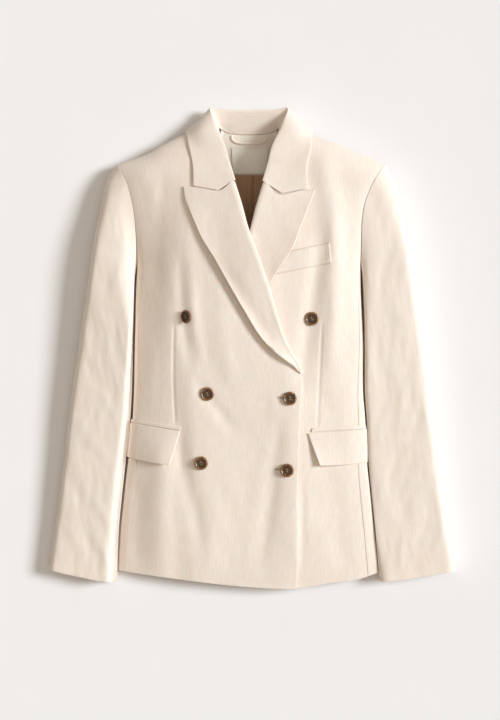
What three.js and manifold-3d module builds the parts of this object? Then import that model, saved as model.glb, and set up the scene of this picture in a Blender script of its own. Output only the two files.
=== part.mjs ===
// A double breasted blazer laid on its back, in millimetres.
// +X is the wearer's left, +Y runs from hem to collar, +Z rises from the surface it lies on.
// Each cut piece of cloth is a thin closed wall, and pieces that are sewn together stand a seam apart.
import * as THREE from 'three';
import { mergeVertices } from 'three/addons/utils/BufferGeometryUtils.js';
import Module from 'manifold-3d';

const wasm = await Module();
wasm.setup();

// Driving dimensions
const CLOTH = 2;
const LINING = 1;
const SEAM = 0.3;
const LAY = 0.6;
const FRONT_LAY = 1.1;
const CENTRE_X = -6;
const HEM_LEVEL = -335;
const HEM_FADE = 130;
const UNDERARM = 124;
const SIDE_ROLL = 56;
const SHOULDER_ROLL = 46;
const UNDER_ROLL = 34;
const NECK_LIFT = 2.4;
const NECK_LIFT_FROM = 225;
const NECK_LIFT_OVER = 60;
const NECK_POINT = { right: -58, left: 46.5 };
const OVERLAP_EDGE = -83;
const OVERLAP_SLOPE = 36;
const OVERLAP_TOP = 190;
const OVERLAP_FADE = 70;
const OVER_LAPEL = { x: 2, y: 130, height: 7.6, width: 46, length: 62 };
const TURN_RADIUS = 1.6;
const TURN_START = 0.9;
const ROLL_SETBACK = TURN_RADIUS + CLOTH + TURN_START + SEAM;
const BREAK_LEVEL = -25;
const BREAK_FADE = 40;

// Numbers of steps in the panels
const BODY_ROWS = 11;
const ARM_ROWS = 9;
const FRONT_COLUMNS = 11;
const BACK_COLUMNS = 8;
const SIDE_COLUMNS = 8;
const SLEEVE_ROWS = 13;
const FRONT_CROWDING = 1.4;
const SLEEVE_CROWDING = 0.35;
const POCKET_CROWDING = 1.7;

// Body seen from above: where its sides turn under, its height at the middle and at the turn
const BODY = [
  { y: -350, right: -199, left: 185.5, crown: 25, turn: 10 },
  { y: -330, right: -198.5, left: 185, crown: 28, turn: 11 },
  { y: -270, right: -195, left: 179.5, crown: 35, turn: 14 },
  { y: -220, right: -190, left: 174, crown: 39, turn: 16 },
  { y: -165, right: -183.5, left: 168, crown: 43, turn: 17.5 },
  { y: -110, right: -177.5, left: 166, crown: 46, turn: 19 },
  { y: -65, right: -175, left: 162.5, crown: 48, turn: 20 },
  { y: 10, right: -173.5, left: 162.5, crown: 51, turn: 21 },
  { y: 80, right: -172, left: 159, crown: 54, turn: 21 },
  { y: 124, right: -170, left: 158.5, crown: 55, turn: 21 },
  { y: 150, right: -170, left: 159, crown: 55, turn: 21 },
  { y: 190, right: -173, left: 160.5, crown: 54, turn: 20.5 },
  { y: 215, right: -177, left: 165.2, crown: 53, turn: 20 },
  { y: 245, right: -185.5, left: 178, crown: 51, turn: 19 },
  { y: 270, right: -199.6, left: 195.5, crown: 48, turn: 18 },
  { y: 300, right: -215, left: 212, crown: 43, turn: 18 },
  { y: 355, right: -235, left: 232, crown: 38, turn: 18 },
];

// How far outside the armhole the chest's own turn would lie
const ARM_EASE = [
  { y: 124, ease: 0 },
  { y: 150, ease: 10 },
  { y: 180, ease: 18 },
  { y: 230, ease: 24 },
  { y: 290, ease: 26 },
];

// Shoulder line across the garment, carried up beyond the neck
const SHOULDER = [
  { x: -230, y: 256 },
  { x: -199.6, y: 270.5 },
  { x: -158.3, y: 285.5 },
  { x: -128.6, y: 302.5 },
  { x: -100, y: 315 },
  { x: -80, y: 319.5 },
  { x: -58, y: 330 },
  { x: -42, y: 352 },
  { x: -6, y: 366 },
  { x: 31, y: 352 },
  { x: 46.5, y: 330 },
  { x: 68, y: 319 },
  { x: 90, y: 313 },
  { x: 128.6, y: 300.5 },
  { x: 160.4, y: 286.2 },
  { x: 195.5, y: 271 },
  { x: 230, y: 256 },
];

const HEM = [
  { x: -200, y: -329 },
  { x: -145, y: -336 },
  { x: -74, y: -345 },
  { x: -18, y: -351 },
  { x: 27, y: -353.7 },
  { x: 64, y: -354.3 },
  { x: 90, y: -351 },
  { x: 115, y: -346.5 },
  { x: 153, y: -342 },
  { x: 185, y: -332 },
];

// Side body: how far its two seams stand in from the turn, on top and underneath
const SIDE_BODY = [
  { y: -350, over: 15, under: 60 },
  { y: -220, over: 15, under: 60 },
  { y: -160, over: 13, under: 59 },
  { y: -62, over: 8, under: 55 },
  { y: 40, over: 5, under: 38 },
  { y: 90, over: 2.5, under: 16 },
  { y: 124, over: 0, under: 1.5 },
];

// The visible roll of each lapel and, below it, the front edge
const ROLL_RIGHT = [
  { y: -356, x: 65.5 },
  { y: -270, x: 67.3 },
  { y: -223, x: 65.8 },
  { y: -165, x: 67.3 },
  { y: -106, x: 69.1 },
  { y: -57, x: 72.2 },
  { y: -34, x: 69 },
  { y: -4, x: 54.9 },
  { y: 33, x: 41.4 },
  { y: 94, x: 22.7 },
  { y: 138, x: 7.5 },
  { y: 173.5, x: -5.7 },
  { y: 213, x: -16.4 },
  { y: 265, x: -32.8 },
  { y: 310, x: -46.2 },
  { y: 353, x: -62.5 },
];

const ROLL_LEFT = [
  { y: -356, x: -83 },
  { y: -60, x: -83 },
  { y: -30, x: -79 },
  { y: 60, x: -43 },
  { y: 130, x: -17.5 },
  { y: 177, x: -2.8 },
  { y: 207, x: 4.8 },
  { y: 262, x: 21.3 },
  { y: 296, x: 30.1 },
  { y: 319, x: 37.8 },
  { y: 354, x: 52 },
];

// Armhole seams from underarm to shoulder point
const ARMHOLE_RIGHT = [
  { x: -170, y: 124 },
  { x: -170.2, y: 150 },
  { x: -173, y: 190 },
  { x: -177, y: 215 },
  { x: -185.5, y: 245 },
  { x: -199.6, y: 270.5 },
];

const ARMHOLE_LEFT = [
  { x: 158.5, y: 124 },
  { x: 159, y: 150 },
  { x: 160.5, y: 190 },
  { x: 165.2, y: 215 },
  { x: 178, y: 245 },
  { x: 195.5, y: 271 },
];

const SLEEVE_RIGHT = {
  outer: [
    { x: -199.9, y: 270.7 },
    { x: -214.6, y: 247.7 },
    { x: -223.9, y: 208.3 },
    { x: -233.3, y: 163.2 },
    { x: -246.5, y: 73.5 },
    { x: -266.1, y: -61.7 },
    { x: -285.6, y: -219.8 },
    { x: -300.5, y: -327.2 },
  ],
  inner: [
    { x: -170.4, y: 124 },
    { x: -173.3, y: 104 },
    { x: -179, y: 25 },
    { x: -182, y: -61.7 },
    { x: -187.5, y: -110 },
    { x: -195.6, y: -195.5 },
    { x: -201, y: -270 },
    { x: -198.5, y: -345.5 },
  ],
  cuff: [
    { x: -300.5, y: -327.2 },
    { x: -276.2, y: -333.1 },
    { x: -249.9, y: -338.4 },
    { x: -224, y: -343.5 },
    { x: -198.5, y: -345.5 },
  ],
};

const SLEEVE_LEFT = {
  outer: [
    { x: 195.8, y: 271.2 },
    { x: 211.5, y: 238 },
    { x: 223.7, y: 183.9 },
    { x: 235.9, y: 122.9 },
    { x: 253, y: 1 },
    { x: 265.3, y: -95.3 },
    { x: 282.2, y: -226.4 },
    { x: 300.2, y: -329.3 },
  ],
  inner: [
    { x: 158.9, y: 124 },
    { x: 161.4, y: 104 },
    { x: 164.4, y: 10 },
    { x: 165, y: -65 },
    { x: 168.3, y: -110 },
    { x: 170.6, y: -165 },
    { x: 182, y: -270 },
    { x: 190.4, y: -344.6 },
  ],
  cuff: [
    { x: 300.2, y: -329.3 },
    { x: 275, y: -333.5 },
    { x: 245, y: -338 },
    { x: 215, y: -342.3 },
    { x: 190.4, y: -344.6 },
  ],
};

// Height of a sleeve along its length: its crown, and the turns at its outer and inner edges
const SLEEVE_HEIGHT = [
  { v: 0, crown: 46, outer: 18, inner: 20 },
  { v: 0.25, crown: 43, outer: 17, inner: 15 },
  { v: 0.5, crown: 37, outer: 16, inner: 13 },
  { v: 0.8, crown: 31, outer: 14, inner: 12 },
  { v: 1, crown: 27, outer: 13, inner: 11 },
];

// Section of a sleeve: how full its top and how flat its underside is, the share of its length over
// which it leaves the armhole's shape, the shares at which folds reach full height, and its seams' gap
const SLEEVE_SECTION = { fullness: 0.46, flatness: 5, merge: 0.24, foldStart: 1 / 12, seamAngle: 0.022 };

// The largest folds: a positive height is a ridge, a negative one a trough
const BODY_FOLDS = [
  { name: 'right chest drape', x0: -124, y0: 285, x1: -156, y1: 26, width: 24, height: -3 },
  { name: 'right chest ridge', x0: -112, y0: 150, x1: -129, y1: 70, width: 13, height: 2.5 },
  { name: 'right waist drag', x0: -102, y0: 28, x1: -35, y1: -81, width: 16, height: -2.5 },
  { name: 'right hip trough', x0: -163, y0: -180, x1: -166, y1: -326, width: 14, height: -2 },
  { name: 'right hip ridge', x0: -128, y0: -172, x1: -134, y1: -335, width: 14, height: 2.5 },
  { name: 'below right pocket', x0: -107, y0: -178, x1: -80, y1: -225, width: 13, height: -2 },
  { name: 'below breast welt', x0: 106, y0: 114, x1: 77, y1: 6, width: 13, height: -2 },
  { name: 'beside front edge', x0: 58, y0: -85, x1: 57, y1: -225, width: 12, height: -1.6 },
];

const SLEEVE_FOLDS = [
  { name: 'right sleeve head', x0: -188, y0: 228, x1: -187, y1: 130, width: 12, height: 2.5 },
  { name: 'right sleeve trough', x0: -208, y0: 176, x1: -216, y1: 60, width: 15, height: -3 },
  { name: 'left sleeve trough', x0: 209, y0: 201, x1: 190, y1: 74, width: 16, height: -3 },
];

// Peak lapels: the gorge and top edge from roll to tip, then the outer edge down to the break
const LAPEL_RIGHT = {
  lowest: -35,
  stand: 6,
  endRadius: 0.5,
  top: [
    { x: -34.5, y: 242.6 },
    { x: -51.5, y: 228.8 },
    { x: -80, y: 233.3 },
    { x: -101, y: 235.3 },
  ],
  outer: [
    { x: -101, y: 235.3 },
    { x: -98.4, y: 217.6 },
    { x: -87, y: 188.9 },
    { x: -73.5, y: 158.5 },
    { x: -56.6, y: 131.4 },
    { x: -34.7, y: 92.6 },
    { x: -11, y: 52.2 },
    { x: 12.5, y: 15 },
    { x: 32.8, y: -6.5 },
    { x: 50, y: -19.5 },
    { x: 61.5, y: -28 },
    { x: 66, y: -34 },
  ],
};

const LAPEL_LEFT = {
  lowest: 126,
  stand: 3.6,
  endRadius: 0.6,
  top: [
    { x: 25.5, y: 241 },
    { x: 42.2, y: 224.2 },
    { x: 70, y: 229.3 },
    { x: 91, y: 230.5 },
  ],
  outer: [
    { x: 91, y: 230.5 },
    { x: 86.7, y: 217.6 },
    { x: 73.4, y: 183.8 },
    { x: 58, y: 145 },
    { x: 39.5, y: 116.3 },
    { x: 23.5, y: 91.1 },
    { x: 16, y: 78 },
  ],
};

// Angles of the turn from the cut edge, and shares of the way from the turn to the outer edge
const LAPEL_TURN = [-1.571, -2.2, -2.9, -3.7, -4.5];
const LAPEL_ACROSS = [0.03, 0.16, 0.34, 0.56, 0.79, 1];
const COLLAR_TURN = [-1.571, -3.14, -4.2];

// Back neckline, where the back meets the collar's stand
const NECKLINE = [
  { x: -58, y: 329 },
  { x: -50, y: 322.5 },
  { x: -40, y: 318.6 },
  { x: -24, y: 316.2 },
  { x: -6, y: 315.6 },
  { x: 12, y: 316.2 },
  { x: 28.5, y: 318.6 },
  { x: 38.5, y: 322.5 },
  { x: 46.5, y: 329 },
];

// Collar ends: where each section leaves the cut edge of its front, where it lies and how high
const COLLAR_END = {
  right: [
    { hinge: 246.5, middle: [-50.6, 231.4], outer: [-87.6, 238.6], rise: 0.6, lift: 0.8 },
    { hinge: 270, middle: [-63, 262], outer: [-87.5, 266], rise: 0.8, lift: 0.8 },
    { hinge: 296, middle: [-70, 292], outer: [-94, 297.5], rise: 2, lift: 1.2 },
  ],
  left: [
    { hinge: 243.5, middle: [41.6, 226.4], outer: [80, 232.6], rise: 0.6, lift: 0.8 },
    { hinge: 268, middle: [52, 258], outer: [79.5, 262], rise: 0.8, lift: 0.8 },
    { hinge: 295, middle: [59, 290], outer: [86, 293], rise: 2, lift: 1.2 },
  ],
};

// Collar round the neck, from the right shoulder to the middle of the back. Each section runs
// from the neck seam up the stand, over the roll and down the fall to its outer edge.
const COLLAR_NECK = [
  { seam: [-54.2, 327.5, 22], rise: [-50.5, 326, 27], roll: [-52.5, 328, 33], turn: [-58, 327.5, 36.5],
    middle: [-77, 321.5, 37], outer: [-97.6, 315, 28.5] },
  { seam: [-49, 326, 12], rise: [-55.5, 340, 17], roll: [-61.6, 354, 20], turn: [-64.8, 353, 17],
    middle: [-79.5, 337, 16], outer: [-98, 321.5, 13] },
  { seam: [-38, 319.4, 4.6], rise: [-42, 336, 12.5], roll: [-46.5, 351.6, 17.5], turn: [-50, 352, 12],
    middle: [-61, 336, 3.4], outer: [-73, 308, 0.6] },
  { seam: [-24, 317.4, 4.4], rise: [-26, 335, 11.6], roll: [-27.5, 350, 16.5], turn: [-28.5, 352, 11.5],
    middle: [-31, 339, 2], outer: [-34, 305, 0] },
  { seam: [-6, 316.5, 4.4], rise: [-6, 334.5, 11.2], roll: [-6, 349, 16], turn: [-6, 351.4, 11],
    middle: [-6, 339, 2], outer: [-6, 304.5, 0] },
];
const COLLAR_LEFT_STRETCH = 1.03;
const COLLAR_STEPS = 12;
const COLLAR_ROWS = 28;

// Flaps hang from the jets of the two hip pockets
const POCKETS = [
  { side: 'right',
    jet: [[-177.2, -104.6], [-104.2, -115], [-105.1, -120.3], [-177.6, -109.6]],
    flap: [[-177.6, -110], [-105.2, -121.4], [-121, -170.2], [-183, -160.5]] },
  { side: 'left',
    jet: [[87.3, -116.9], [165.4, -113.6], [166, -118.2], [85.4, -122.4]],
    flap: [[80.7, -124.6], [166, -118.6], [167.6, -167.8], [96.7, -171]] },
];

// Breast welt: its left end slips under the lapel
const BREAST_WELT = [[49, 138.5], [112, 152.1], [114.8, 124.3], [33.5, 108.2]];

// How the sewn-on pieces lie on a front
const JET = { rows: 1, columns: 9, gap: 0.75, thickness: 1.2 };
const FLAP = { rows: 4, columns: 9, gap: 0.8, thickness: CLOTH, dip: 1.5 };
const WELT = { rows: 2, columns: 5, gap: 0.5, thickness: 1.6 };

// Pieces inside the back neck, from the top down; they show between the lapels
const NECK_FACING = [
  { y: 314.4, from: -34, to: 23 },
  { y: 285, from: -50, to: 38 },
  { y: 257.6, from: -62, to: 50 },
];
const BACK_LINING = [
  { y: 257, from: -70, to: 58 },
  { y: 190, from: -70, to: 58 },
  { y: 120, from: -70, to: 58 },
];
const NECK_LABEL = [
  { y: 297, from: -31.3, to: 23.5 },
  { y: 258.6, from: -30, to: 20.5 },
];
const INSIDE_GAP = 0.5;
const LABEL_GAP = 0.4;
const PLEAT = { x: -1.3, width: 5, height: 2 };

const LOOP = { width: 4, steps: 14, bow: 1 };
const LOOP_ARC = [
  { x: -30.6, y: 314.5 },
  { x: -28.5, y: 308 },
  { x: -22, y: 304.6 },
  { x: -12, y: 304 },
  { x: 2, y: 304 },
  { x: 12.5, y: 304.8 },
  { x: 18.6, y: 308.4 },
  { x: 20.4, y: 314.5 },
];

const BUTTON = { radius: 10, rim: 8.2, well: 6.6, foot: 7.6, thickness: 3.6, dish: 1, hole: 1.1, pitch: 2.2 };
// Rounding of a button's edge, as shares of its radius and thickness
const BUTTON_EDGE = [
  { radius: 0.97, height: 0.35 },
  { radius: 1, height: 0.6 },
  { radius: 0.93, height: 0.93 },
];
const BUTTON_SEAT = 0.8;
const BUTTON_STEPS = 22;
const HOLE_STEPS = 8;
const BUTTONS = [
  { name: 'button_top_right', x: -96.6, y: 45.6, front: 'right', lean: 0.36 },
  { name: 'button_top_left', x: 85.3, y: 42.6, front: 'left', lean: 0 },
  { name: 'button_middle_right', x: -67.9, y: -66.9, front: 'right', lean: 0 },
  { name: 'button_middle_left', x: 52.2, y: -74.1, front: 'right', lean: 0 },
  { name: 'button_bottom_right', x: -77.5, y: -167.9, front: 'right', lean: 0 },
  { name: 'button_bottom_left', x: 47.6, y: -179.9, front: 'right', lean: 0 },
];

const finish = (color, roughness) => new THREE.MeshStandardMaterial({ color, roughness, metalness: 0 });
const SUITING = finish(0xeee6d8, 0.85);
const SUITING_UNDER = finish(0xe4dacb, 0.85);
const LINING_CLOTH = finish(0xb58d6b, 0.5);
const LABEL_CLOTH = finish(0xe3e1d7, 0.6);
const HORN = finish(0x5f3f27, 0.35);

// Plain helpers

function smoothStep(t) {
  const k = Math.min(1, Math.max(0, t));
  return k * k * (3 - 2 * k);
}

function mix(a, b, t) {
  return a + (b - a) * t;
}

// Quarter of a circle: 0 at the edge, 1 once t passes 1
function roundOff(t) {
  const k = Math.min(1, Math.max(0, t));
  return Math.sqrt(1 - (1 - k) * (1 - k));
}

// Smooth value of one column of a table, read along another column
function column(table, along, name) {
  const slope = (i) => {
    const before = table[Math.max(0, i - 1)];
    const after = table[Math.min(table.length - 1, i + 1)];
    return (after[name] - before[name]) / (after[along] - before[along]);
  };
  return (at) => {
    let i = 0;
    while (i < table.length - 2 && at > table[i + 1][along]) {
      i += 1;
    }
    const from = table[i];
    const to = table[i + 1];
    const step = to[along] - from[along];
    const t = Math.min(1, Math.max(0, (at - from[along]) / step));
    const eased = smoothStep(t);
    const leave = t * (1 - t) ** 2;
    const arrive = t * t * (t - 1);
    return mix(from[name], to[name], eased) + step * (leave * slope(i) + arrive * slope(i + 1));
  };
}

function planCurve(rows) {
  return new THREE.CatmullRomCurve3(rows.map((row) => new THREE.Vector3(row.x, row.y, row.z ?? 0)));
}

// Four-sided sheet stretched between its boundary curves
function between(low, high, start, end) {
  const corners = [low(0), low(1), high(0), high(1)];
  return (u, v) => {
    const point = low(u).clone().multiplyScalar(1 - v);
    point.addScaledVector(high(u), v);
    point.addScaledVector(start(v), 1 - u);
    point.addScaledVector(end(v), u);
    point.addScaledVector(corners[0], -(1 - u) * (1 - v));
    point.addScaledVector(corners[1], -u * (1 - v));
    point.addScaledVector(corners[2], -(1 - u) * v);
    point.addScaledVector(corners[3], -u * v);
    return point;
  };
}

function steps(count) {
  return Array.from({ length: count + 1 }, (_, i) => i / count);
}

// The garment's skin

const bodyEdge = { right: column(BODY, 'y', 'right'), left: column(BODY, 'y', 'left') };
const crownAt = column(BODY, 'y', 'crown');
const turnAt = column(BODY, 'y', 'turn');
const armEase = column(ARM_EASE, 'y', 'ease');
const shoulderAt = column(SHOULDER, 'x', 'y');
const hemAt = column(HEM, 'x', 'y');
const necklineAt = column(NECKLINE, 'x', 'y');
const sideOver = column(SIDE_BODY, 'y', 'over');
const sideUnder = column(SIDE_BODY, 'y', 'under');
const rollLine = { right: column(ROLL_RIGHT, 'y', 'x'), left: column(ROLL_LEFT, 'y', 'x') };
const sideSign = { right: -1, left: 1 };

function sideOf(x) {
  return x < CENTRE_X ? 'right' : 'left';
}

function foldHeight(folds, x, y) {
  let total = 0;
  for (const fold of folds) {
    const along = new THREE.Vector2(fold.x1 - fold.x0, fold.y1 - fold.y0);
    const from = new THREE.Vector2(x - fold.x0, y - fold.y0);
    const length = along.length();
    const t = from.dot(along) / (length * length);
    const across = from.cross(along) / length;
    const ends = smoothStep(t * 4) * smoothStep((1 - t) * 4);
    total += fold.height * ends * Math.exp(-((across / fold.width) ** 2));
  }
  return total;
}

// Plan distances in from the side's turn and down from the shoulder line
function reach(x, y) {
  const side = sideOf(x);
  const inset = (bodyEdge[side](y) - x) * sideSign[side] + armEase(y);
  return { inset, fall: shoulderAt(x) - y };
}

function overHeight(x, y) {
  const { inset, fall } = reach(x, y);
  const swell = roundOff(inset / SIDE_ROLL) * roundOff(fall / SHOULDER_ROLL);
  return mix(turnAt(y), crownAt(y), swell) + foldHeight(BODY_FOLDS, x, y) * swell;
}

function underHeight(x, y) {
  const { inset, fall } = reach(x, y);
  const flat = roundOff(inset / UNDER_ROLL) * roundOff(fall / UNDER_ROLL);
  return mix(turnAt(y), NECK_LIFT * smoothStep((y - NECK_LIFT_FROM) / NECK_LIFT_OVER), flat);
}

// The right front lies on the left one and, near the crossing, on the left lapel too
function overlapLift(x, y) {
  const overFront = (FRONT_LAY + CLOTH) * smoothStep((x - OVERLAP_EDGE) / OVERLAP_SLOPE + 1);
  const fades = 1 - smoothStep((y - OVERLAP_TOP) / OVERLAP_FADE);
  const across = (x - OVER_LAPEL.x) / OVER_LAPEL.width;
  const along = (y - OVER_LAPEL.y) / OVER_LAPEL.length;
  return overFront * fades + OVER_LAPEL.height * Math.exp(-across * across - along * along);
}

const frontHeight = {
  left: overHeight,
  right: (x, y) => overHeight(x, y) + overlapLift(x, y),
};

// Rows of the body dip to follow the hem
function rowHeight(level, x) {
  return level + (hemAt(x) - HEM_LEVEL) * (1 - smoothStep((level - HEM_LEVEL) / HEM_FADE));
}

const bodyLevels = steps(BODY_ROWS).map((t) => mix(HEM_LEVEL, UNDERARM, t));
const armParts = steps(ARM_ROWS).map((t) => (1 - Math.cos(Math.PI * t)) / 2);
const armhole = { right: planCurve(ARMHOLE_RIGHT), left: planCurve(ARMHOLE_LEFT) };
const PANEL_ROWS = BODY_ROWS + ARM_ROWS;

// Plan points up the side of a front or back: its side seam, then the armhole
function sideLine(side, insetAt) {
  const below = bodyLevels.map((level) => {
    const x = bodyEdge[side](level) - sideSign[side] * insetAt(level);
    return new THREE.Vector3(x, rowHeight(level, x), 0);
  });
  const above = armParts.slice(1).map((t) => armhole[side].getPoint(t));
  return [...below, ...above];
}

// Plan points up the other side of the panel, at the same shares of its length
function matchedLine(line, xAt, top) {
  const first = line[0].y;
  const last = line[line.length - 1].y;
  const foot = hemAt(xAt(HEM_LEVEL));
  return line.map((point) => {
    const y = mix(foot, top, (point.y - first) / (last - first));
    return new THREE.Vector3(xAt(y), y, 0);
  });
}

// Closed walls from grids of points

function gridNormals(points, towards) {
  const rows = points.length;
  const columns = points[0].length;
  const normals = points.map((row, j) => row.map((_, i) => {
    const along = points[j][Math.min(columns - 1, i + 1)].clone().sub(points[j][Math.max(0, i - 1)]);
    const up = points[Math.min(rows - 1, j + 1)][i].clone().sub(points[Math.max(0, j - 1)][i]);
    return along.cross(up).normalize();
  }));
  const middle = normals[Math.floor(rows / 2)][Math.floor(columns / 2)];
  if (middle.dot(towards) < 0) {
    normals.forEach((row) => row.forEach((normal) => normal.negate()));
    return { normals, flipped: true };
  }
  return { normals, flipped: false };
}

function panel(name, points, towards, material, thickness = CLOTH) {
  return { name, points, material, thickness, ...gridNormals(points, new THREE.Vector3(...towards)) };
}

// Panels that meet at a seam share the direction of their thickness there
function shareSeams(panels) {
  const near = 1.2;
  const rims = [];
  for (const sheet of panels) {
    sheet.points.forEach((row, j) => row.forEach((point, i) => {
      const onRim = j === 0 || i === 0 || j === sheet.points.length - 1 || i === row.length - 1;
      if (onRim) {
        rims.push({ sheet, point, normal: sheet.normals[j][i], own: sheet.normals[j][i].clone() });
      }
    }));
  }
  for (const rim of rims) {
    for (const other of rims) {
      if (other.sheet !== rim.sheet && other.point.distanceTo(rim.point) < near) {
        rim.normal.add(other.own);
      }
    }
    rim.normal.normalize();
  }
}

// Where front and back meet at the shoulder, both end on a level rim
function levelShoulder(sheet) {
  const last = sheet.points.length - 1;
  sheet.points[last].forEach((point, i) => {
    if (point.z > turnAt(point.y) / 2) {
      sheet.normals[last][i].setZ(0).normalize();
    }
  });
}

function wallGeometry({ points, normals, flipped, thickness }) {
  const rows = points.length;
  const columns = points[0].length;
  const outside = points.flat();
  const directions = normals.flat();
  const inside = outside.map((point, i) => point.clone().addScaledVector(directions[i], -thickness));
  const positions = [...outside, ...inside].flatMap((point) => point.toArray());
  const back = outside.length;
  const index = [];
  const quad = (a, b, c, d) => {
    index.push(...(flipped ? [a, c, b, a, d, c] : [a, b, c, a, c, d]));
  };
  const at = (j, i) => j * columns + i;
  for (let j = 0; j < rows - 1; j += 1) {
    for (let i = 0; i < columns - 1; i += 1) {
      quad(at(j, i), at(j, i + 1), at(j + 1, i + 1), at(j + 1, i));
      quad(back + at(j + 1, i), back + at(j + 1, i + 1), back + at(j, i + 1), back + at(j, i));
    }
  }
  const rim = [];
  for (let i = 0; i < columns - 1; i += 1) {
    rim.push([at(0, i + 1), at(0, i)], [at(rows - 1, i), at(rows - 1, i + 1)]);
  }
  for (let j = 0; j < rows - 1; j += 1) {
    rim.push([at(j, 0), at(j + 1, 0)], [at(j + 1, columns - 1), at(j, columns - 1)]);
  }
  for (const [a, b] of rim) {
    quad(a, b, back + b, back + a);
  }
  const geometry = new THREE.BufferGeometry();
  geometry.setAttribute('position', new THREE.Float32BufferAttribute(positions, 3));
  geometry.setIndex(index);
  return geometry;
}

function meshOf(name, geometry, material) {
  const mesh = new THREE.Mesh(geometry, material);
  mesh.name = name;
  return mesh;
}

function wall(sheet) {
  return meshOf(sheet.name, wallGeometry(sheet), sheet.material);
}

// Body panels

// The front's cut edge stands back from the visible roll, and meets it at the break
function rollSetback(side, y) {
  return sideSign[side] * ROLL_SETBACK * smoothStep((y - BREAK_LEVEL) / BREAK_FADE);
}

// A front: its columns close up towards the side, where it turns under
function frontPanel(side) {
  const start = sideLine(side, sideOver);
  const inner = (y) => rollLine[side](y) + rollSetback(side, y);
  const neck = NECK_POINT[side];
  const end = matchedLine(start, inner, shoulderAt(neck));
  end[end.length - 1] = new THREE.Vector3(neck, shoulderAt(neck), 0);
  const along = (t, a, b, yAt) => {
    const x = mix(a.x, b.x, t);
    return new THREE.Vector3(x, yAt(x), 0);
  };
  const last = start.length - 1;
  const sheet = between(
    (u) => along(u, start[0], end[0], hemAt),
    (u) => along(u, start[last], end[last], shoulderAt),
    (v) => start[Math.round(v * last)],
    (v) => end[Math.round(v * last)],
  );
  return steps(last).map((v) => steps(FRONT_COLUMNS).map((t) => {
    const point = sheet(t ** FRONT_CROWDING, v);
    point.z = frontHeight[side](point.x, point.y);
    return point;
  }));
}

function backPanel(side) {
  const start = sideLine(side, sideUnder);
  start.slice(BODY_ROWS + 1, -1).forEach((point) => point.setX(point.x - sideSign[side] * 2 * SEAM));
  const centre = CENTRE_X + sideSign[side] * SEAM / 2;
  const end = matchedLine(start, () => centre, necklineAt(centre));
  const last = start.length - 1;
  const neck = NECK_POINT[side];
  const share = 5 / BACK_COLUMNS;
  const top = (u) => {
    const x = u < share ? mix(start[last].x, neck, u / share) : mix(neck, centre, (u - share) / (1 - share));
    return new THREE.Vector3(x, u < share ? shoulderAt(x) : Math.min(shoulderAt(x), necklineAt(x)), 0);
  };
  const sheet = between(
    (u) => new THREE.Vector3(mix(start[0].x, centre, u), hemAt(mix(start[0].x, centre, u)), 0),
    top,
    (v) => start[Math.round(v * last)],
    (v) => end[Math.round(v * last)],
  );
  return steps(last).map((v) => steps(BACK_COLUMNS).map((u) => {
    const point = sheet(u, v);
    point.z = Math.min(underHeight(point.x, point.y), turnAt(point.y) - 2 * SEAM);
    return point;
  }));
}

// Skin point at a signed root of its distance in from the turn: above it on top, below it underneath
function turnPoint(side, root, level) {
  const x = bodyEdge[side](level) - sideSign[side] * root * root;
  const y = rowHeight(level, x);
  return new THREE.Vector3(x, y, root > 0 ? overHeight(x, y) : underHeight(x, y));
}

function sidePanel(side) {
  const seamRoot = (root) => SEAM / Math.max(2 * root, 5);
  return bodyLevels.map((level, j) => {
    const over = Math.sqrt(sideOver(level));
    const under = Math.sqrt(sideUnder(level));
    const topRoot = over - seamRoot(over);
    const lowRoot = -under + seamRoot(under);
    const lowered = j === BODY_ROWS ? level - 2 * SEAM : level;
    return steps(SIDE_COLUMNS).map((t) => turnPoint(side, mix(topRoot, lowRoot, t), lowered));
  });
}

// Sleeves: rings that leave the armhole and turn to the cuff

function sleeveSkin(side, plan) {
  const sign = sideSign[side];
  const crown = column(SLEEVE_HEIGHT, 'v', 'crown');
  const outerTurn = column(SLEEVE_HEIGHT, 'v', 'outer');
  const innerTurn = column(SLEEVE_HEIGHT, 'v', 'inner');
  const outer = planCurve(plan.outer);
  const inner = planCurve(plan.inner);
  const cuff = planCurve(plan.cuff);
  const seamShift = new THREE.Vector3(sign * SEAM * 2.6, 0, 0);
  const mouth = (u) => armhole[side].getPoint(1 - u).add(seamShift);
  const sheet = between(
    mouth,
    (u) => cuff.getPoint(u),
    (v) => outer.getPointAt(v),
    (v) => inner.getPointAt(v),
  );
  const { fullness, flatness, merge, foldStart } = SLEEVE_SECTION;
  return (angle, v) => {
    const u = (1 - Math.cos(angle)) / 2;
    const isTop = Math.sin(angle) >= 0;
    const point = sheet(u, v);
    const seam = armhole[side].getPoint(1 - u);
    const mouthHeight = isTop ? overHeight(seam.x, seam.y) : underHeight(seam.x, seam.y);
    const turn = mix(outerTurn(v), innerTurn(v), u);
    const swell = (4 * u * (1 - u)) ** fullness;
    const flat = Math.sqrt(1 - Math.abs(2 * u - 1) ** flatness);
    const tube = isTop ? mix(turn, crown(v), swell) : turn * (1 - flat);
    const folds = isTop ? foldHeight(SLEEVE_FOLDS, point.x, point.y) * swell : 0;
    point.z = mix(mouthHeight, tube, smoothStep(v / merge)) + folds * smoothStep(v / foldStart);
    return point;
  };
}

function sleevePanels(side, plan) {
  const skin = sleeveSkin(side, plan);
  const step = Math.PI / ARM_ROWS;
  const under = step + SLEEVE_SECTION.seamAngle;
  const rings = steps(SLEEVE_ROWS).map((t) => mix(t, t * t, SLEEVE_CROWDING));
  const strip = (from, to, count) => rings.map((v) => steps(count).map((t) => skin(mix(from, to, t), v)));
  const over = strip(-step, Math.PI + step, ARM_ROWS + 2);
  const below = strip(Math.PI + under, 2 * Math.PI - under, ARM_ROWS - 2);
  return [
    panel(`topsleeve_${side}`, over, [0, 0, 1], SUITING),
    panel(`undersleeve_${side}`, below, [0, 0, -1], SUITING_UNDER),
  ];
}

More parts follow.
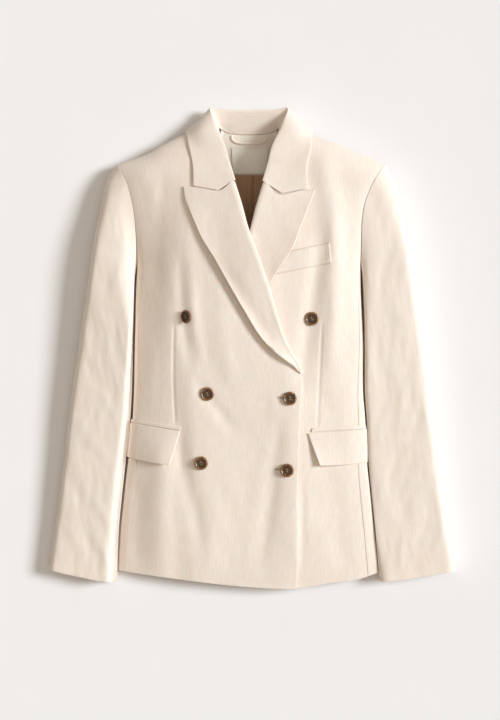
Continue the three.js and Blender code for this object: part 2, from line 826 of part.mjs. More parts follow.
function trianglesOf({ points }) {
  return points.slice(1).flatMap((row, j) => row.slice(1).flatMap((far, i) => {
    const near = points[j][i];
    return [[near, points[j][i + 1], far], [near, far, row[i]]];
  }));
}

// Height of the facets of a few panels over a plan point
function facetsOf(panels) {
  const triangles = panels.flatMap(trianglesOf);
  const slack = 0.01;
  return (x, y) => {
    let best = -Infinity;
    for (const [a, b, c] of triangles) {
      const area = (b.x - a.x) * (c.y - a.y) - (c.x - a.x) * (b.y - a.y);
      const s = ((x - a.x) * (c.y - a.y) - (c.x - a.x) * (y - a.y)) / area;
      const t = ((b.x - a.x) * (y - a.y) - (x - a.x) * (b.y - a.y)) / area;
      if (s >= -slack && t >= -slack && s + t <= 1 + slack) {
        best = Math.max(best, a.z + s * (b.z - a.z) + t * (c.z - a.z));
      }
    }
    return best;
  };
}

// Point of a front's cut edge at a level, along its facets
function edgeOf(sheet, y) {
  const edge = sheet.points.map((row) => row[row.length - 1]);
  const next = Math.max(1, edge.findIndex((point) => point.y > y));
  const from = edge[next - 1];
  const to = edge[next];
  return from.clone().lerp(to, (y - from.y) / (to.y - from.y));
}

// Points of the convex face as cloth leaves a cut edge and turns over on itself
function turnOver(edge, sign, radius, angles, gap = SEAM * 1.4) {
  const start = edge.clone();
  start.x -= sign * gap;
  start.z -= CLOTH;
  const arc = angles.map((angle) => {
    const point = edge.clone();
    point.x += sign * ((radius + CLOTH) * Math.cos(angle) - gap - TURN_START);
    point.z += radius + (radius + CLOTH) * Math.sin(angle);
    return point;
  });
  return [start, ...arc];
}

// Lapels: each leaves the cut edge of its front, turns over and lies back on it

function lapelPanel(front, side, plan) {
  const { lowest, stand, endRadius } = plan;
  const sign = sideSign[side];
  const topEdge = planCurve(plan.top);
  const outerEdge = planCurve(plan.outer);
  const highest = plan.top[0].y;
  const over = facetsOf([front]);
  const hinge = (t) => edgeOf(front, mix(highest, lowest, t)).setZ(0);
  const foot = (t) => hinge(1).clone().lerp(outerEdge.getPoint(1), t);
  const gorge = (t) => topEdge.getPoint(t).add(hinge(0).sub(topEdge.getPoint(0)).multiplyScalar(1 - t));
  const sheet = between(gorge, foot, hinge, (v) => outerEdge.getPoint(v));
  const apart = 4;
  const corners = front.points.map((row) => row[row.length - 1].y);
  const used = corners.filter((y) => y < highest - apart && y > lowest + apart);
  const marks = [lowest, ...used, highest];
  const levels = marks.flatMap((y, i) => (i ? [(marks[i - 1] + y) / 2, y] : [y])).reverse();
  return levels.map((y) => {
    const v = (highest - y) / (highest - lowest);
    const radius = mix(TURN_RADIUS, endRadius, smoothStep((v - 0.7) / 0.3));
    const turned = turnOver(edgeOf(front, y), sign, radius, LAPEL_TURN);
    const flat = LAPEL_ACROSS.map((u) => {
      const point = sheet(u, v);
      const curl = stand * Math.sin(Math.PI * Math.min(1, v * 1.15)) * u ** 1.6;
      const rise = 2 * radius * (1 - u) ** 2.2 + curl;
      point.z = over(point.x, point.y) + LAY + CLOTH + rise;
      return point;
    });
    return [...turned, ...flat];
  });
}

// Collar: sections set round the neck, its ends turned over like the lapels

function collarEnd(front, side) {
  const over = facetsOf([front]);
  const onto = ([x, y], lift) => new THREE.Vector3(x, y, over(x, y) + LAY + CLOTH + lift);
  return COLLAR_END[side].map(({ hinge, middle, outer, rise, lift }) => [
    ...turnOver(edgeOf(front, hinge), sideSign[side], TURN_RADIUS, COLLAR_TURN, 2.4 * SEAM),
    onto(middle, rise),
    onto(outer, lift),
  ]);
}

function collarPanel(fronts) {
  const spots = ['seam', 'rise', 'roll', 'turn', 'middle', 'outer'];
  const right = COLLAR_NECK.map((row) => spots.map((spot) => new THREE.Vector3(...row[spot])));
  const left = COLLAR_NECK.slice(0, -1).reverse().map((row) => spots.map((spot) => {
    const [x, y, z] = row[spot];
    return new THREE.Vector3(CENTRE_X + (CENTRE_X - x) * COLLAR_LEFT_STRETCH, y, z);
  }));
  const rightEnd = collarEnd(fronts.right, 'right');
  const leftEnd = collarEnd(fronts.left, 'left').reverse();
  const sections = [...rightEnd, ...right, ...left, ...leftEnd];
  const rails = spots.map((_, i) => new THREE.CatmullRomCurve3(sections.map((section) => section[i])));
  return steps(COLLAR_ROWS).map((c) => {
    const places = rails.map((rail) => rail.getPoint(c));
    const section = new THREE.CatmullRomCurve3(places, false, 'catmullrom', 0.5);
    return steps(COLLAR_STEPS).map((t) => {
      const point = section.getPoint(t);
      return point.setZ(Math.max(0, point.z));
    });
  });
}

// Pieces that lie on a front follow its skin, moved out along it

function skinFrame(front, x, y, over) {
  const side = sideOf(x);
  const sign = sideSign[side];
  const root = Math.sqrt(Math.max(0, (bodyEdge[side](y) - x) * sign));
  const at = (r, level) => {
    const px = bodyEdge[side](level) - sign * r * r;
    return new THREE.Vector3(px, level, frontHeight[front](px, level));
  };
  const delta = 0.02;
  const along = at(root + delta, y).sub(at(root, y)).multiplyScalar(-sign);
  const up = at(root, y + 1).sub(at(root, y - 1));
  const point = at(root, y);
  point.z = Math.max(point.z, over(x, y));
  return { point, normal: along.cross(up).normalize() };
}

function onFront(name, front, over, quad, cut) {
  const { rows, columns, gap, thickness, dip = 0, crowd = 1, crowdEnd = 1 } = cut;
  const [topStart, topEnd, lowEnd, lowStart] = quad;
  const place = (axis, u, v) => {
    const high = mix(topStart[axis], topEnd[axis], u);
    const low = mix(lowStart[axis], lowEnd[axis], u);
    return mix(high, low, v);
  };
  const points = steps(rows).map((v) => steps(columns).map((t) => {
    const u = 1 - (1 - t ** crowd) ** crowdEnd;
    const y = place(1, u, v) - dip * v * Math.sin(Math.PI * u);
    const { point, normal } = skinFrame(front, place(0, u, v), y, over);
    return point.addScaledVector(normal, gap + thickness);
  }));
  return panel(name, points, [0, 0, 1], SUITING, thickness);
}

function pocketPanels({ side, jet, flap }, over) {
  const crowding = side === 'right' ? { crowd: POCKET_CROWDING } : { crowdEnd: POCKET_CROWDING };
  return [
    onFront(`pocket_jet_${side}`, side, over, jet, { ...JET, ...crowding }),
    onFront(`pocket_flap_${side}`, side, over, flap, { ...FLAP, ...crowding }),
  ];
}

// Inside of the neck: facing, lining with its centre pleat, label and hanger loop lie on the back

function halfway(a, b) {
  return { y: (a.y + b.y) / 2, from: (a.from + b.from) / 2, to: (a.to + b.to) / 2 };
}

function insideBack(name, rows, { gap, columns, material, pleat = 0 }) {
  const levels = rows.flatMap((row, j) => (j ? [halfway(rows[j - 1], row), row] : [row]));
  const points = levels.map(({ y, from, to }) => steps(columns).map((t) => {
    const x = mix(from, to, t);
    const ridge = pleat * Math.exp(-(((x - PLEAT.x) / PLEAT.width) ** 2));
    return new THREE.Vector3(x, y, underHeight(x, y) + CLOTH + gap + LINING + ridge);
  }));
  return panel(name, points, [0, 0, 1], material, LINING);
}

function hangerLoop() {
  const arc = planCurve(LOOP_ARC);
  const height = NECK_LIFT + CLOTH + 2 * (LABEL_GAP + LINING);
  const points = steps(LOOP.steps).map((t) => {
    const middle = arc.getPointAt(t);
    const tangent = arc.getTangentAt(t).multiplyScalar(LOOP.width / 2);
    const z = height + LOOP.bow * Math.sin(Math.PI * t);
    return [-1, 0, 1].map((k) => new THREE.Vector3(middle.x - tangent.y * k, middle.y + tangent.x * k, z));
  });
  return panel('hanger_loop', points, [0, 0, 1], SUITING, LINING);
}

// Buttons

function solidOf(geometry) {
  const plain = geometry.clone();
  plain.deleteAttribute('normal');
  plain.deleteAttribute('uv');
  const merged = mergeVertices(plain);
  return new wasm.Manifold(new wasm.Mesh({
    numProp: 3,
    vertProperties: new Float32Array(merged.attributes.position.array),
    triVerts: new Uint32Array(merged.index.array),
  }));
}

function buttonGeometry() {
  const { radius, rim, well, foot, thickness, dish, hole, pitch } = BUTTON;
  const edge = BUTTON_EDGE.map((share) => [radius * share.radius, thickness * share.height]);
  const face = [[rim, thickness], [well, thickness - dish], [0, thickness - dish]];
  const profile = [[0, 0], [foot, 0], ...edge, ...face].map(([r, h]) => new THREE.Vector2(r, h));
  let body = solidOf(new THREE.LatheGeometry(profile, BUTTON_STEPS));
  for (let i = 0; i < 4; i += 1) {
    const angle = Math.PI / 4 + i * Math.PI / 2;
    const drill = new THREE.CylinderGeometry(hole, hole, thickness * 3, HOLE_STEPS);
    drill.translate(pitch * Math.cos(angle), 0, pitch * Math.sin(angle));
    body = body.subtract(solidOf(drill));
  }
  const { vertProperties, triVerts } = body.getMesh();
  const geometry = new THREE.BufferGeometry();
  geometry.setAttribute('position', new THREE.Float32BufferAttribute(vertProperties, 3));
  geometry.setIndex([...triVerts]);
  return geometry.rotateX(Math.PI / 2);
}

function buttons(overs) {
  const geometry = buttonGeometry();
  return BUTTONS.map(({ name, x, y, front, lean }) => {
    const { point, normal } = skinFrame(front, x, y, overs[front]);
    const mesh = meshOf(name, geometry, HORN);
    const tilted = normal.clone().applyAxisAngle(new THREE.Vector3(0, 1, 0), -lean);
    mesh.quaternion.setFromUnitVectors(new THREE.Vector3(0, 0, 1), tilted);
    const raised = BUTTON.foot * Math.sin(lean) * BUTTON_SEAT;
    mesh.position.copy(point.addScaledVector(normal, SEAM + LAY + raised));
    return mesh;
  });
}

// The whole garment

const garment = new THREE.Group();
const fronts = {};
const shell = [];
const shouldered = [];
const overs = {};
for (const side of ['right', 'left']) {
  fronts[side] = panel(`front_${side}`, frontPanel(side), [0, 0, 1], SUITING);
  const back = panel(`back_${side}`, backPanel(side), [0, 0, -1], SUITING_UNDER);
  const body = panel(`side_${side}`, sidePanel(side), [sideSign[side], 0, 0], SUITING_UNDER);
  shell.push(fronts[side], back, body);
  shouldered.push(fronts[side], back);
  overs[side] = facetsOf([fronts[side], body]);
}
shell.push(...sleevePanels('right', SLEEVE_RIGHT), ...sleevePanels('left', SLEEVE_LEFT));
shareSeams(shell);
shouldered.forEach(levelShoulder);

const laid = [
  panel('lapel_right', lapelPanel(fronts.right, 'right', LAPEL_RIGHT), [0, 0, 1], SUITING),
  panel('lapel_left', lapelPanel(fronts.left, 'left', LAPEL_LEFT), [0, 0, 1], SUITING),
  panel('collar', collarPanel(fronts), [0, 0, 1], SUITING),
  ...POCKETS.flatMap((pocket) => pocketPanels(pocket, overs[pocket.side])),
  onFront('breast_welt', 'left', overs.left, BREAST_WELT, WELT),
  insideBack('back_neck_facing', NECK_FACING, { gap: INSIDE_GAP, columns: 6, material: SUITING }),
  insideBack('back_lining', BACK_LINING, {
    gap: INSIDE_GAP,
    columns: 14,
    material: LINING_CLOTH,
    pleat: PLEAT.height,
  }),
  insideBack('neck_label', NECK_LABEL, {
    gap: INSIDE_GAP + LINING + LABEL_GAP,
    columns: 2,
    material: LABEL_CLOTH,
  }),
  hangerLoop(),
];

garment.add(...shell.map(wall), ...laid.map(wall), ...buttons(overs));

export default garment;
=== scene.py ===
"""A cream double breasted blazer laid on its back and seen from straight above.

Sizes are in millimetres in the row frame until a mesh is made: +X is the wearer's
left, +Y runs from hem to collar and +Z rises from the surface it lies on.
"""

import logging
import math
from collections.abc import Callable, Sequence
from dataclasses import dataclass
from enum import Enum

import bpy
import numpy as np
from mathutils import Matrix, Vector


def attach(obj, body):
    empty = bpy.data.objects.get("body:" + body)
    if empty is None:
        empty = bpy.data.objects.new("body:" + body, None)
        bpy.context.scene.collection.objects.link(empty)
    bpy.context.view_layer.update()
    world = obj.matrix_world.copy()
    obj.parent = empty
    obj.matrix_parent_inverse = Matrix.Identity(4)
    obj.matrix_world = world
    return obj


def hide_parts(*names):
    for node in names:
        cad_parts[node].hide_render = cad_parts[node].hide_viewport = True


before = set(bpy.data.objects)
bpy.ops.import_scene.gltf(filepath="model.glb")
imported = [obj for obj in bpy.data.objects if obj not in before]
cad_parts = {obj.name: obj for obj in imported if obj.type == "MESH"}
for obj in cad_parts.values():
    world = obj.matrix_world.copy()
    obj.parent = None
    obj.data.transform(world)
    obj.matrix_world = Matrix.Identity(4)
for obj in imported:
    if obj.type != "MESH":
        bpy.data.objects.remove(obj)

Array = np.ndarray
Reading = Callable[[Array], Array]
LOG = logging.getLogger("blazer")

MM = 0.001
BODY_NAME = "root"
CLOTH_MAP = "cloth"

# Cloth thicknesses, the gap at a seam and the gaps between cloths that lie on each other
CLOTH = 2.0
LINING = 1.0
SEAM = 0.3
LAY = 0.6
FRONT_LAY = 1.1
# Roundness of an edge that is sewn to the next piece, as a share of a free edge's
SEWN = 0.4
# Share of a crease's length over which it comes up and dies away
FADE = 0.35
# Middle of the body, level of the hem, height over which rows still follow the hem, and the underarm
CENTRE_X = -6.0
HEM_LEVEL = -335.0
HEM_FADE = 130.0
UNDERARM = 124.0
# Widths over which the top face falls to the shoulder line and to the wearer's right and left side
SHOULDER_ROLL = 46.0
SIDE_ROLL = (86.0, 36.0)
# Width of the steeper part of the right side's fall, and its share of the fall
STEEP_ROLL = 12.0
STEEP_SHARE = 0.1
# Dome of the fronts as a share of the crown: its size, the part of it that the middle rises, the distance
# over which it falls by its whole size, the level where it ends and the height over which it fades there
DOME = 0.24
DOME_MIDDLE = 0.35
DOME_REACH = 175.0
DOME_TOP = 300.0
DOME_FADE = 80.0
# Width over which the bottom face comes down to the surface it lies on
UNDER_ROLL = 34.0
# The back's neck edge lies a little off the surface
NECK_LIFT = 2.4
NECK_LIFT_FROM = 225.0
NECK_LIFT_OVER = 60.0
# From here on the right front lies on the left one, after a slope of that width; towards the neck the
# rise fades from that level on, over that height
OVERLAP_EDGE = -83.0
OVERLAP_SLOPE = 36.0
OVERLAP_FADE_FROM = 190.0
OVERLAP_FADE = 70.0
# Share of the fine crumples' height that the body has
BODY_CRUMPLE = 0.3
# Swelling of the right front over the left lapel: height, middle and spread
ON_LAPEL = 7.6
ON_LAPEL_MIDDLE = (2.0, 130.0)
ON_LAPEL_SPREAD = (46.0, 62.0)
# Inner radius and straight start of a turn at the roll, and how far the front's cut edge stands back from it
TURN_RADIUS = 1.6
TURN_START = 0.9
ROLL_SETBACK = TURN_RADIUS + CLOTH + TURN_START + SEAM
# The cut edge starts to stand back at the break, and is wholly back this far above it
BREAK_LEVEL = -25.0
BREAK_FADE = 40.0


class Side(Enum):
    """The wearer's side; its value is the sign of x there."""

    RIGHT = -1
    LEFT = 1

    @property
    def label(self) -> str:
        """Name used in the names of pieces."""
        return self.name.lower()


class Grain(Enum):
    """How the threads lie in a piece: along its own rows, or along the garment."""

    ROWS = "rows"
    PLAN = "plan"


def smooth_step(t: Array) -> Array:
    """Smooth rise from 0 to 1 as t goes from 0 to 1."""
    k = np.clip(t, 0.0, 1.0)
    return k * k * (3.0 - 2.0 * k)


def mix(a: Array, b: Array, t: Array) -> Array:
    """Value t of the way from a to b."""
    return a + (b - a) * t


def round_off(t: Array) -> Array:
    """Quarter of a circle: 0 at the edge, 1 once t passes 1."""
    k = np.clip(t, 0.0, 1.0)
    return np.sqrt(1.0 - (1.0 - k) ** 2)


def shares(count: int) -> Array:
    """Evenly spaced shares from 0 to 1 with that many steps."""
    return np.linspace(0.0, 1.0, count + 1)


class Table:
    """Rows of numbers under named columns, read smoothly along the first one."""

    def __init__(self, names: str, *rows: Sequence[float]) -> None:
        """Keeps the rows.

        Args:
            names: Names of the columns, with spaces between them.
            *rows: One value for each column.
        """
        self.names = names.split()
        self.rows = np.array(rows, float)

    def column(self, name: str) -> Reading:
        """Smooth reading of one column along the first.

        Args:
            name: The column's name.

        Returns:
            A function from places along the first column to values.
        """
        along = self.rows[:, 0]
        value = self.rows[:, self.names.index(name)]
        slope = np.empty_like(value)
        slope[1:-1] = (value[2:] - value[:-2]) / (along[2:] - along[:-2])
        slope[0] = (value[1] - value[0]) / (along[1] - along[0])
        slope[-1] = (value[-1] - value[-2]) / (along[-1] - along[-2])

        def read(at: Array) -> Array:
            """Values at places along the first column."""
            i = np.clip(np.searchsorted(along, at, side="right") - 1, 0, len(along) - 2)
            step = along[i + 1] - along[i]
            t = np.clip((at - along[i]) / step, 0.0, 1.0)
            return (
                (2 * t**3 - 3 * t**2 + 1) * value[i]
                + (t**3 - 2 * t**2 + t) * step * slope[i]
                + (3 * t**2 - 2 * t**3) * value[i + 1]
                + (t**3 - t**2) * step * slope[i + 1]
            )

        return read

    def curve(self) -> "Curve":
        """Smooth curve through the rows, taken as points."""
        return Curve(self.rows)


class Curve:
    """Smooth curve through points, sampled closely."""

    SAMPLES = 24

    def __init__(self, points: Array, even: bool = False) -> None:
        """Fits the curve.

        Args:
            points: One point a row.
            even: True to space its tangents evenly, whatever the points' distances.
        """
        p = np.asarray(points, float)
        p = np.vstack([2 * p[0] - p[1], p, 2 * p[-1] - p[-2]])
        t = np.linspace(0.0, 1.0, self.SAMPLES, endpoint=False)[:, None]
        parts = []
        for a, b, c, d in zip(p[:-3], p[1:-2], p[2:-1], p[3:]):
            if even:
                leave, arrive = (c - a) / 2, (d - b) / 2
            else:
                u, v, w = (max(np.linalg.norm(x), 1e-6) ** 0.5 for x in (b - a, c - b, d - c))
                leave = ((b - a) / u - (c - a) / (u + v) + (c - b) / v) * v
                arrive = ((c - b) / v - (d - b) / (v + w) + (d - c) / w) * v
            parts.append(
                (2 * t**3 - 3 * t**2 + 1) * b
                + (t**3 - 2 * t**2 + t) * leave
                + (3 * t**2 - 2 * t**3) * c
                + (t**3 - t**2) * arrive
            )
        self.samples = np.vstack([*parts, p[-2][None]])
        self.share = np.linspace(0.0, 1.0, len(self.samples))
        lengths = np.linalg.norm(np.diff(self.samples, axis=0), axis=1)
        self.run = np.concatenate([[0.0], np.cumsum(lengths)])

    def _read(self, t: Array, scale: Array) -> Array:
        """Points where the scale reaches t."""
        return np.stack([np.interp(t, scale, axis) for axis in self.samples.T], axis=-1)

    def at(self, t: Array) -> Array:
        """Points at shares of the way from point to point."""
        return self._read(np.asarray(t), self.share)

    def along(self, t: Array) -> Array:
        """Points at shares of the curve's length."""
        return self._read(np.asarray(t) * self.run[-1], self.run)


Boundary = Callable[[Array], Array]


def between(low: Boundary, high: Boundary, start: Boundary, end: Boundary, u: Array, v: Array) -> Array:
    """Four-sided sheet stretched between its boundary curves.

    Args:
        low: Boundary at v = 0, as points at shares u.
        high: Boundary at v = 1.
        start: Boundary at u = 0, as points at shares v.
        end: Boundary at u = 1.
        u: Shares across.
        v: Shares along.

    Returns:
        Points in rows along v and columns along u.
    """
    ends = np.array([0.0, 1.0])
    (c00, c10), (c01, c11) = low(ends), high(ends)
    across, along = u[None, :, None], v[:, None, None]
    return (
        low(u)[None] * (1 - along)
        + high(u)[None] * along
        + start(v)[:, None] * (1 - across)
        + end(v)[:, None] * across
        - c00 * (1 - across) * (1 - along)
        - c10 * across * (1 - along)
        - c01 * (1 - across) * along
        - c11 * across * along
    )


BODY = Table(
    "y right left crown turn",
    (-350, -199, 185.5, 24, 5),
    (-330, -198.5, 185, 28, 6),
    (-270, -195, 179.5, 36, 9),
    (-220, -190, 174, 39, 13),
    (-165, -183.5, 168, 43, 17.5),
    (-110, -177.5, 166, 46, 19),
    (-65, -175, 162.5, 48, 20),
    (10, -173.5, 162.5, 51, 21),
    (80, -172, 159, 54, 21),
    (124, -170, 158.5, 55, 21),
    (150, -170, 159, 55, 21),
    (190, -173, 160.5, 54, 20.5),
    (215, -177, 165.2, 53, 20),
    (245, -185.5, 178, 51, 19),
    (270, -199.6, 195.5, 48, 18),
    (300, -215, 212, 43, 18),
    (355, -235, 232, 38, 18),
)
RAISED_LEFT = Table("y rise", (-350, 12), (-270, 16), (-165, 13), (190, 13), (245, 6), (270, 1), (355, 0))
ARM_EASE = Table("y ease", (124, 0), (150, 5), (180, 11), (230, 20), (290, 26))
SHOULDER = Table(
    "x y",
    (-230, 256),
    (-199.6, 270.5),
    (-158.3, 285.5),
    (-128.6, 302.5),
    (-100, 315),
    (-80, 319.5),
    (-58, 330),
    (-42, 352),
    (-6, 366),
    (31, 352),
    (46.5, 330),
    (68, 319),
    (90, 313),
    (128.6, 300.5),
    (160.4, 286.2),
    (195.5, 271),
    (230, 256),
)
HEM = Table(
    "x y",
    (-200, -329),
    (-145, -336),
    (-74, -345),
    (-18, -351),
    (27, -353.7),
    (64, -354.3),
    (90, -351),
    (115, -346.5),
    (153, -342),
    (185, -332),
)
NECKLINE = Table(
    "x y",
    (-58, 329),
    (-50, 322.5),
    (-40, 318.6),
    (-24, 316.2),
    (-6, 315.6),
    (12, 316.2),
    (28.5, 318.6),
    (38.5, 322.5),
    (46.5, 329),
)
SIDE_BODY = Table(
    "y over under",
    (-350, 15, 60),
    (-220, 15, 60),
    (-160, 13, 59),
    (-62, 8, 55),
    (40, 5, 38),
    (90, 2.5, 16),
    (124, 0, 1.5),
)
ROLL = {
    Side.RIGHT: Table(
        "y x",
        (-356, 65.5),
        (-270, 67.3),
        (-223, 65.8),
        (-165, 67.3),
        (-106, 69.1),
        (-57, 72.2),
        (-34, 69),
        (-4, 54.9),
        (33, 41.4),
        (94, 22.7),
        (138, 7.5),
        (173.5, -5.7),
        (213, -16.4),
        (265, -32.8),
        (310, -46.2),
        (353, -62.5),
    ),
    Side.LEFT: Table(
        "y x",
        (-356, -83),
        (-60, -83),
        (-30, -79),
        (60, -43),
        (130, -17.5),
        (177, -2.8),
        (207, 4.8),
        (262, 21.3),
        (296, 30.1),
        (319, 37.8),
        (354, 52),
    ),
}
ARMHOLE = {
    Side.RIGHT: Table("x y", (-170, 124), (-170.2, 150), (-173, 190), (-177, 215), (-185.5, 245), (-199.6, 270.5)),
    Side.LEFT: Table("x y", (158.5, 124), (159, 150), (160.5, 190), (165.2, 215), (178, 245), (195.5, 271)),
}
NECK_POINT = {Side.RIGHT: -58.0, Side.LEFT: 46.5}


@dataclass(frozen=True)
class Crease:
    """A soft trough or ridge along a line.

    Args:
        start: Plan point where it starts.
        end: Plan point where it ends.
        width: Half its width.
        height: Height of a ridge, negative for a trough.
        bow: How far its middle bends sideways.
    """

    start: tuple[float, float]
    end: tuple[float, float]
    width: float
    height: float
    bow: float = 0.0

    def rise(self, x: Array, y: Array) -> Array:
        """Height that it adds at plan points."""
        dx, dy = self.end[0] - self.start[0], self.end[1] - self.start[1]
        length = math.hypot(dx, dy)
        t = ((x - self.start[0]) * dx + (y - self.start[1]) * dy) / length**2
        across = ((x - self.start[0]) * dy - (y - self.start[1]) * dx) / length
        across = across - self.bow * 4 * t * (1 - t)
        ends = smooth_step(t / FADE) * smooth_step((1 - t) / FADE)
        return self.height * ends * np.exp(-((across / self.width) ** 2))


BODY_CREASES = (
    # Drapes and crests of the wearer's right side
    Crease((-122, 320), (-160, 20), 26, -3.4),
    Crease((-112, 240), (-128, -90), 22, 2.6),
    Crease((-134, -110), (-136, -385), 20, 3.6),
    Crease((-170, -170), (-172, -345), 12, -1.6),
    Crease((-116, -100), (-68, -320), 12, -2.6),
    Crease((-142, 262), (-150, 176), 9, 0.9),
    Crease((-148, 20), (-150, -90), 11, 1.0),
    # Drag lines round the first button
    Crease((-104, 160), (-84, -60), 8, -1.8, 8),
    Crease((-88, 130), (-64, -50), 8, 1.5, 8),
    Crease((-92, -34), (-18, -134), 10, -2.2),
    Crease((-104, 44), (-30, -94), 19, -1.4),
    Crease((-58, 80), (-22, -70), 13, 1.4),
    Crease((-66, 150), (46, -28), 14, -4.0),
    # Middle and front edge
    Crease((-16, -30), (-8, -390), 46, -2.6),
    Crease((60, 10), (64, -390), 32, 2.6),
    Crease((49, -60), (4, -340), 11, -2.0),
    Crease((40, -170), (14, -330), 9, -1.0),
    Crease((73, -180), (73, -340), 6, -1.3),
    Crease((-60, -190), (-64, -345), 16, 0.9),
    Crease((-103, -92), (-106, -198), 8, -0.8),
    # Chest and side of the wearer's left
    Crease((98, 335), (122, 110), 18, 3.8),
    Crease((124, 270), (112, -90), 15, 4.2),
    Crease((106, 200), (64, -90), 12, -3.2),
    Crease((112, 96), (105, 10), 6, -0.6),
    Crease((90, -50), (122, -108), 10, -0.7),
    Crease((120, -185), (128, -335), 14, -0.8),
    Crease((140, 205), (130, 90), 11, -0.8),
)
BACK_CREASES = (
    Crease((-120, 240), (-70, 90), 22, 2.2),
    Crease((104, 236), (64, 96), 20, 2.0),
    Crease((-96, 40), (-60, -60), 18, 1.6),
    Crease((70, 20), (96, -110), 18, 1.8),
    Crease((-50, -150), (-64, -300), 16, 1.6),
    Crease((40, -160), (30, -310), 15, 1.4),
)
DARTS = (
    (Side.RIGHT, Curve([(-113.6, 53), (-115, 10), (-115.6, -40), (-114.4, -80), (-113.2, -112)])),
    (Side.LEFT, Curve([(102.2, 53), (100, 4), (97.8, -47), (96.4, -82), (94.8, -117)])),
)
DART_DEPTH = 1.1
DART_WIDTH = 1.9


@dataclass(frozen=True)
class SleevePlan:
    """Outline of a sleeve seen from above and the shape of its top.

    Args:
        outer: Outer edge.
        inner: Edge next to the body.
        cuff: Edge of the cuff.
        tilt: Share by which its body side lies higher at the cuff.
        raised: How much higher than its usual level its seam beside the body lies.
        ledge: Share of its width that lies low beside the body.
        creases: Its folds.
    """

    outer: Table
    inner: Table
    cuff: Table
    tilt: float
    raised: float
    ledge: float
    creases: tuple[Crease, ...]


SLEEVES = {
    Side.RIGHT: SleevePlan(
        outer=Table(
            "x y",
            (-199.9, 270.7),
            (-214.6, 247.7),
            (-223.9, 208.3),
            (-233.3, 163.2),
            (-246.5, 73.5),
            (-266.1, -61.7),
            (-285.6, -219.8),
            (-300.5, -327.2),
        ),
        inner=Table(
            "x y",
            (-170.4, 124),
            (-173.3, 104),
            (-176, 25),
            (-178, -61.7),
            (-181, -110),
            (-190.5, -195.5),
            (-197.8, -270),
            (-200.6, -345.5),
        ),
        cuff=Table("x y", (-300.5, -327.2), (-276.2, -333.1), (-249.9, -338.4), (-224, -343.5), (-200.6, -345.5)),
        tilt=0.2,
        raised=8.0,
        ledge=0.075,
        creases=(
            Crease((-188, 228), (-187, 130), 12, 2.5),
            Crease((-208, 176), (-216, 60), 15, -3),
            Crease((-232, 66), (-208, 18), 8, 1.2),
            Crease((-250, 0), (-216, -70), 9, -1.5, 3),
            Crease((-226, -52), (-198, -112), 7, 1.1),
            Crease((-262, -92), (-232, -160), 9, 1.4, -3),
            Crease((-240, -142), (-210, -192), 7, -1.2),
            Crease((-272, -180), (-240, -246), 9, -1.5, 2),
            Crease((-236, -212), (-208, -266), 7, 1.2),
            Crease((-282, -248), (-252, -302), 8, 1.1),
            Crease((-252, -266), (-222, -326), 8, -1.3, -2),
            Crease((-222, -282), (-206, -334), 6, 0.9),
        ),
    ),
    Side.LEFT: SleevePlan(
        outer=Table(
            "x y",
            (195.8, 271.2),
            (211.5, 238),
            (223.7, 183.9),
            (235.9, 122.9),
            (253, 1),
            (265.3, -95.3),
            (282.2, -226.4),
            (300.2, -329.3),
        ),
        inner=Table(
            "x y",
            (158.9, 124),
            (161.4, 104),
            (164.4, 10),
            (165, -65),
            (168.3, -110),
            (170.6, -165),
            (180.8, -270),
            (187.8, -344.6),
        ),
        cuff=Table("x y", (300.2, -329.3), (275, -333.5), (245, -338), (215, -342.3), (187.8, -344.6)),
        tilt=-0.05,
        raised=17.0,
        ledge=0.0,
        creases=(
            Crease((209, 201), (190, 74), 16, -3),
            Crease((226, 60), (206, -4), 10, 1.0, 2),
            Crease((244, 20), (222, -48), 9, -1.3),
            Crease((232, -46), (204, -104), 9, 1.2, -2),
            Crease((254, -84), (226, -146), 9, -1.4, 2),
            Crease((222, -132), (198, -196), 8, -1.0),
            Crease((262, -150), (236, -214), 9, 1.3),
            Crease((244, -196), (216, -262), 8, -1.3, 3),
            Crease((272, -224), (248, -288), 9, -1.1),
            Crease((232, -262), (212, -326), 8, 1.1),
            Crease((274, -276), (256, -324), 7, 0.9),
        ),
    ),
}
SLEEVE_HEIGHT = Table(
    "v crown outer inner",
    (0, 46, 18, 20),
    (0.25, 43, 17, 15),
    (0.5, 37, 16, 13),
    (0.8, 31, 14, 12),
    (1, 27, 13, 11),
)


def unevenness(x: Array, y: Array) -> Array:
    """Faint uneven waves that no pressed cloth is without, within about half a millimetre."""
    return (
        0.20 * np.sin(0.061 * x + 0.017 * y + 0.4)
        + 0.16 * np.sin(-0.034 * x + 0.052 * y + 2.1)
        + 0.12 * np.sin(0.113 * x - 0.021 * y + 1.3 + 0.8 * np.sin(0.013 * y))
        + 0.08 * np.sin(0.147 * x + 0.083 * y + 4.0)
    )


def crumple(x: Array, y: Array) -> Array:
    """Fine wrinkles that run along a sleeve, wandering and fading as they go."""
    near = np.sin(0.021 * y + 0.03 * x)
    return (
        0.34 * np.sin(0.17 * x + 0.035 * y + 1.4 * near) * (0.6 + 0.4 * np.sin(0.043 * y + 0.02 * x))
        + 0.20 * np.sin(0.33 * x - 0.05 * y + 1.8 * near + 2.0) * (0.5 + 0.5 * np.sin(0.061 * y - 0.03 * x + 1.0))
        + 0.10 * np.sin(0.55 * x + 0.09 * y + 2.2 * near + 4.0) * (0.5 + 0.5 * np.sin(0.083 * y + 0.05 * x + 3.0))
    )


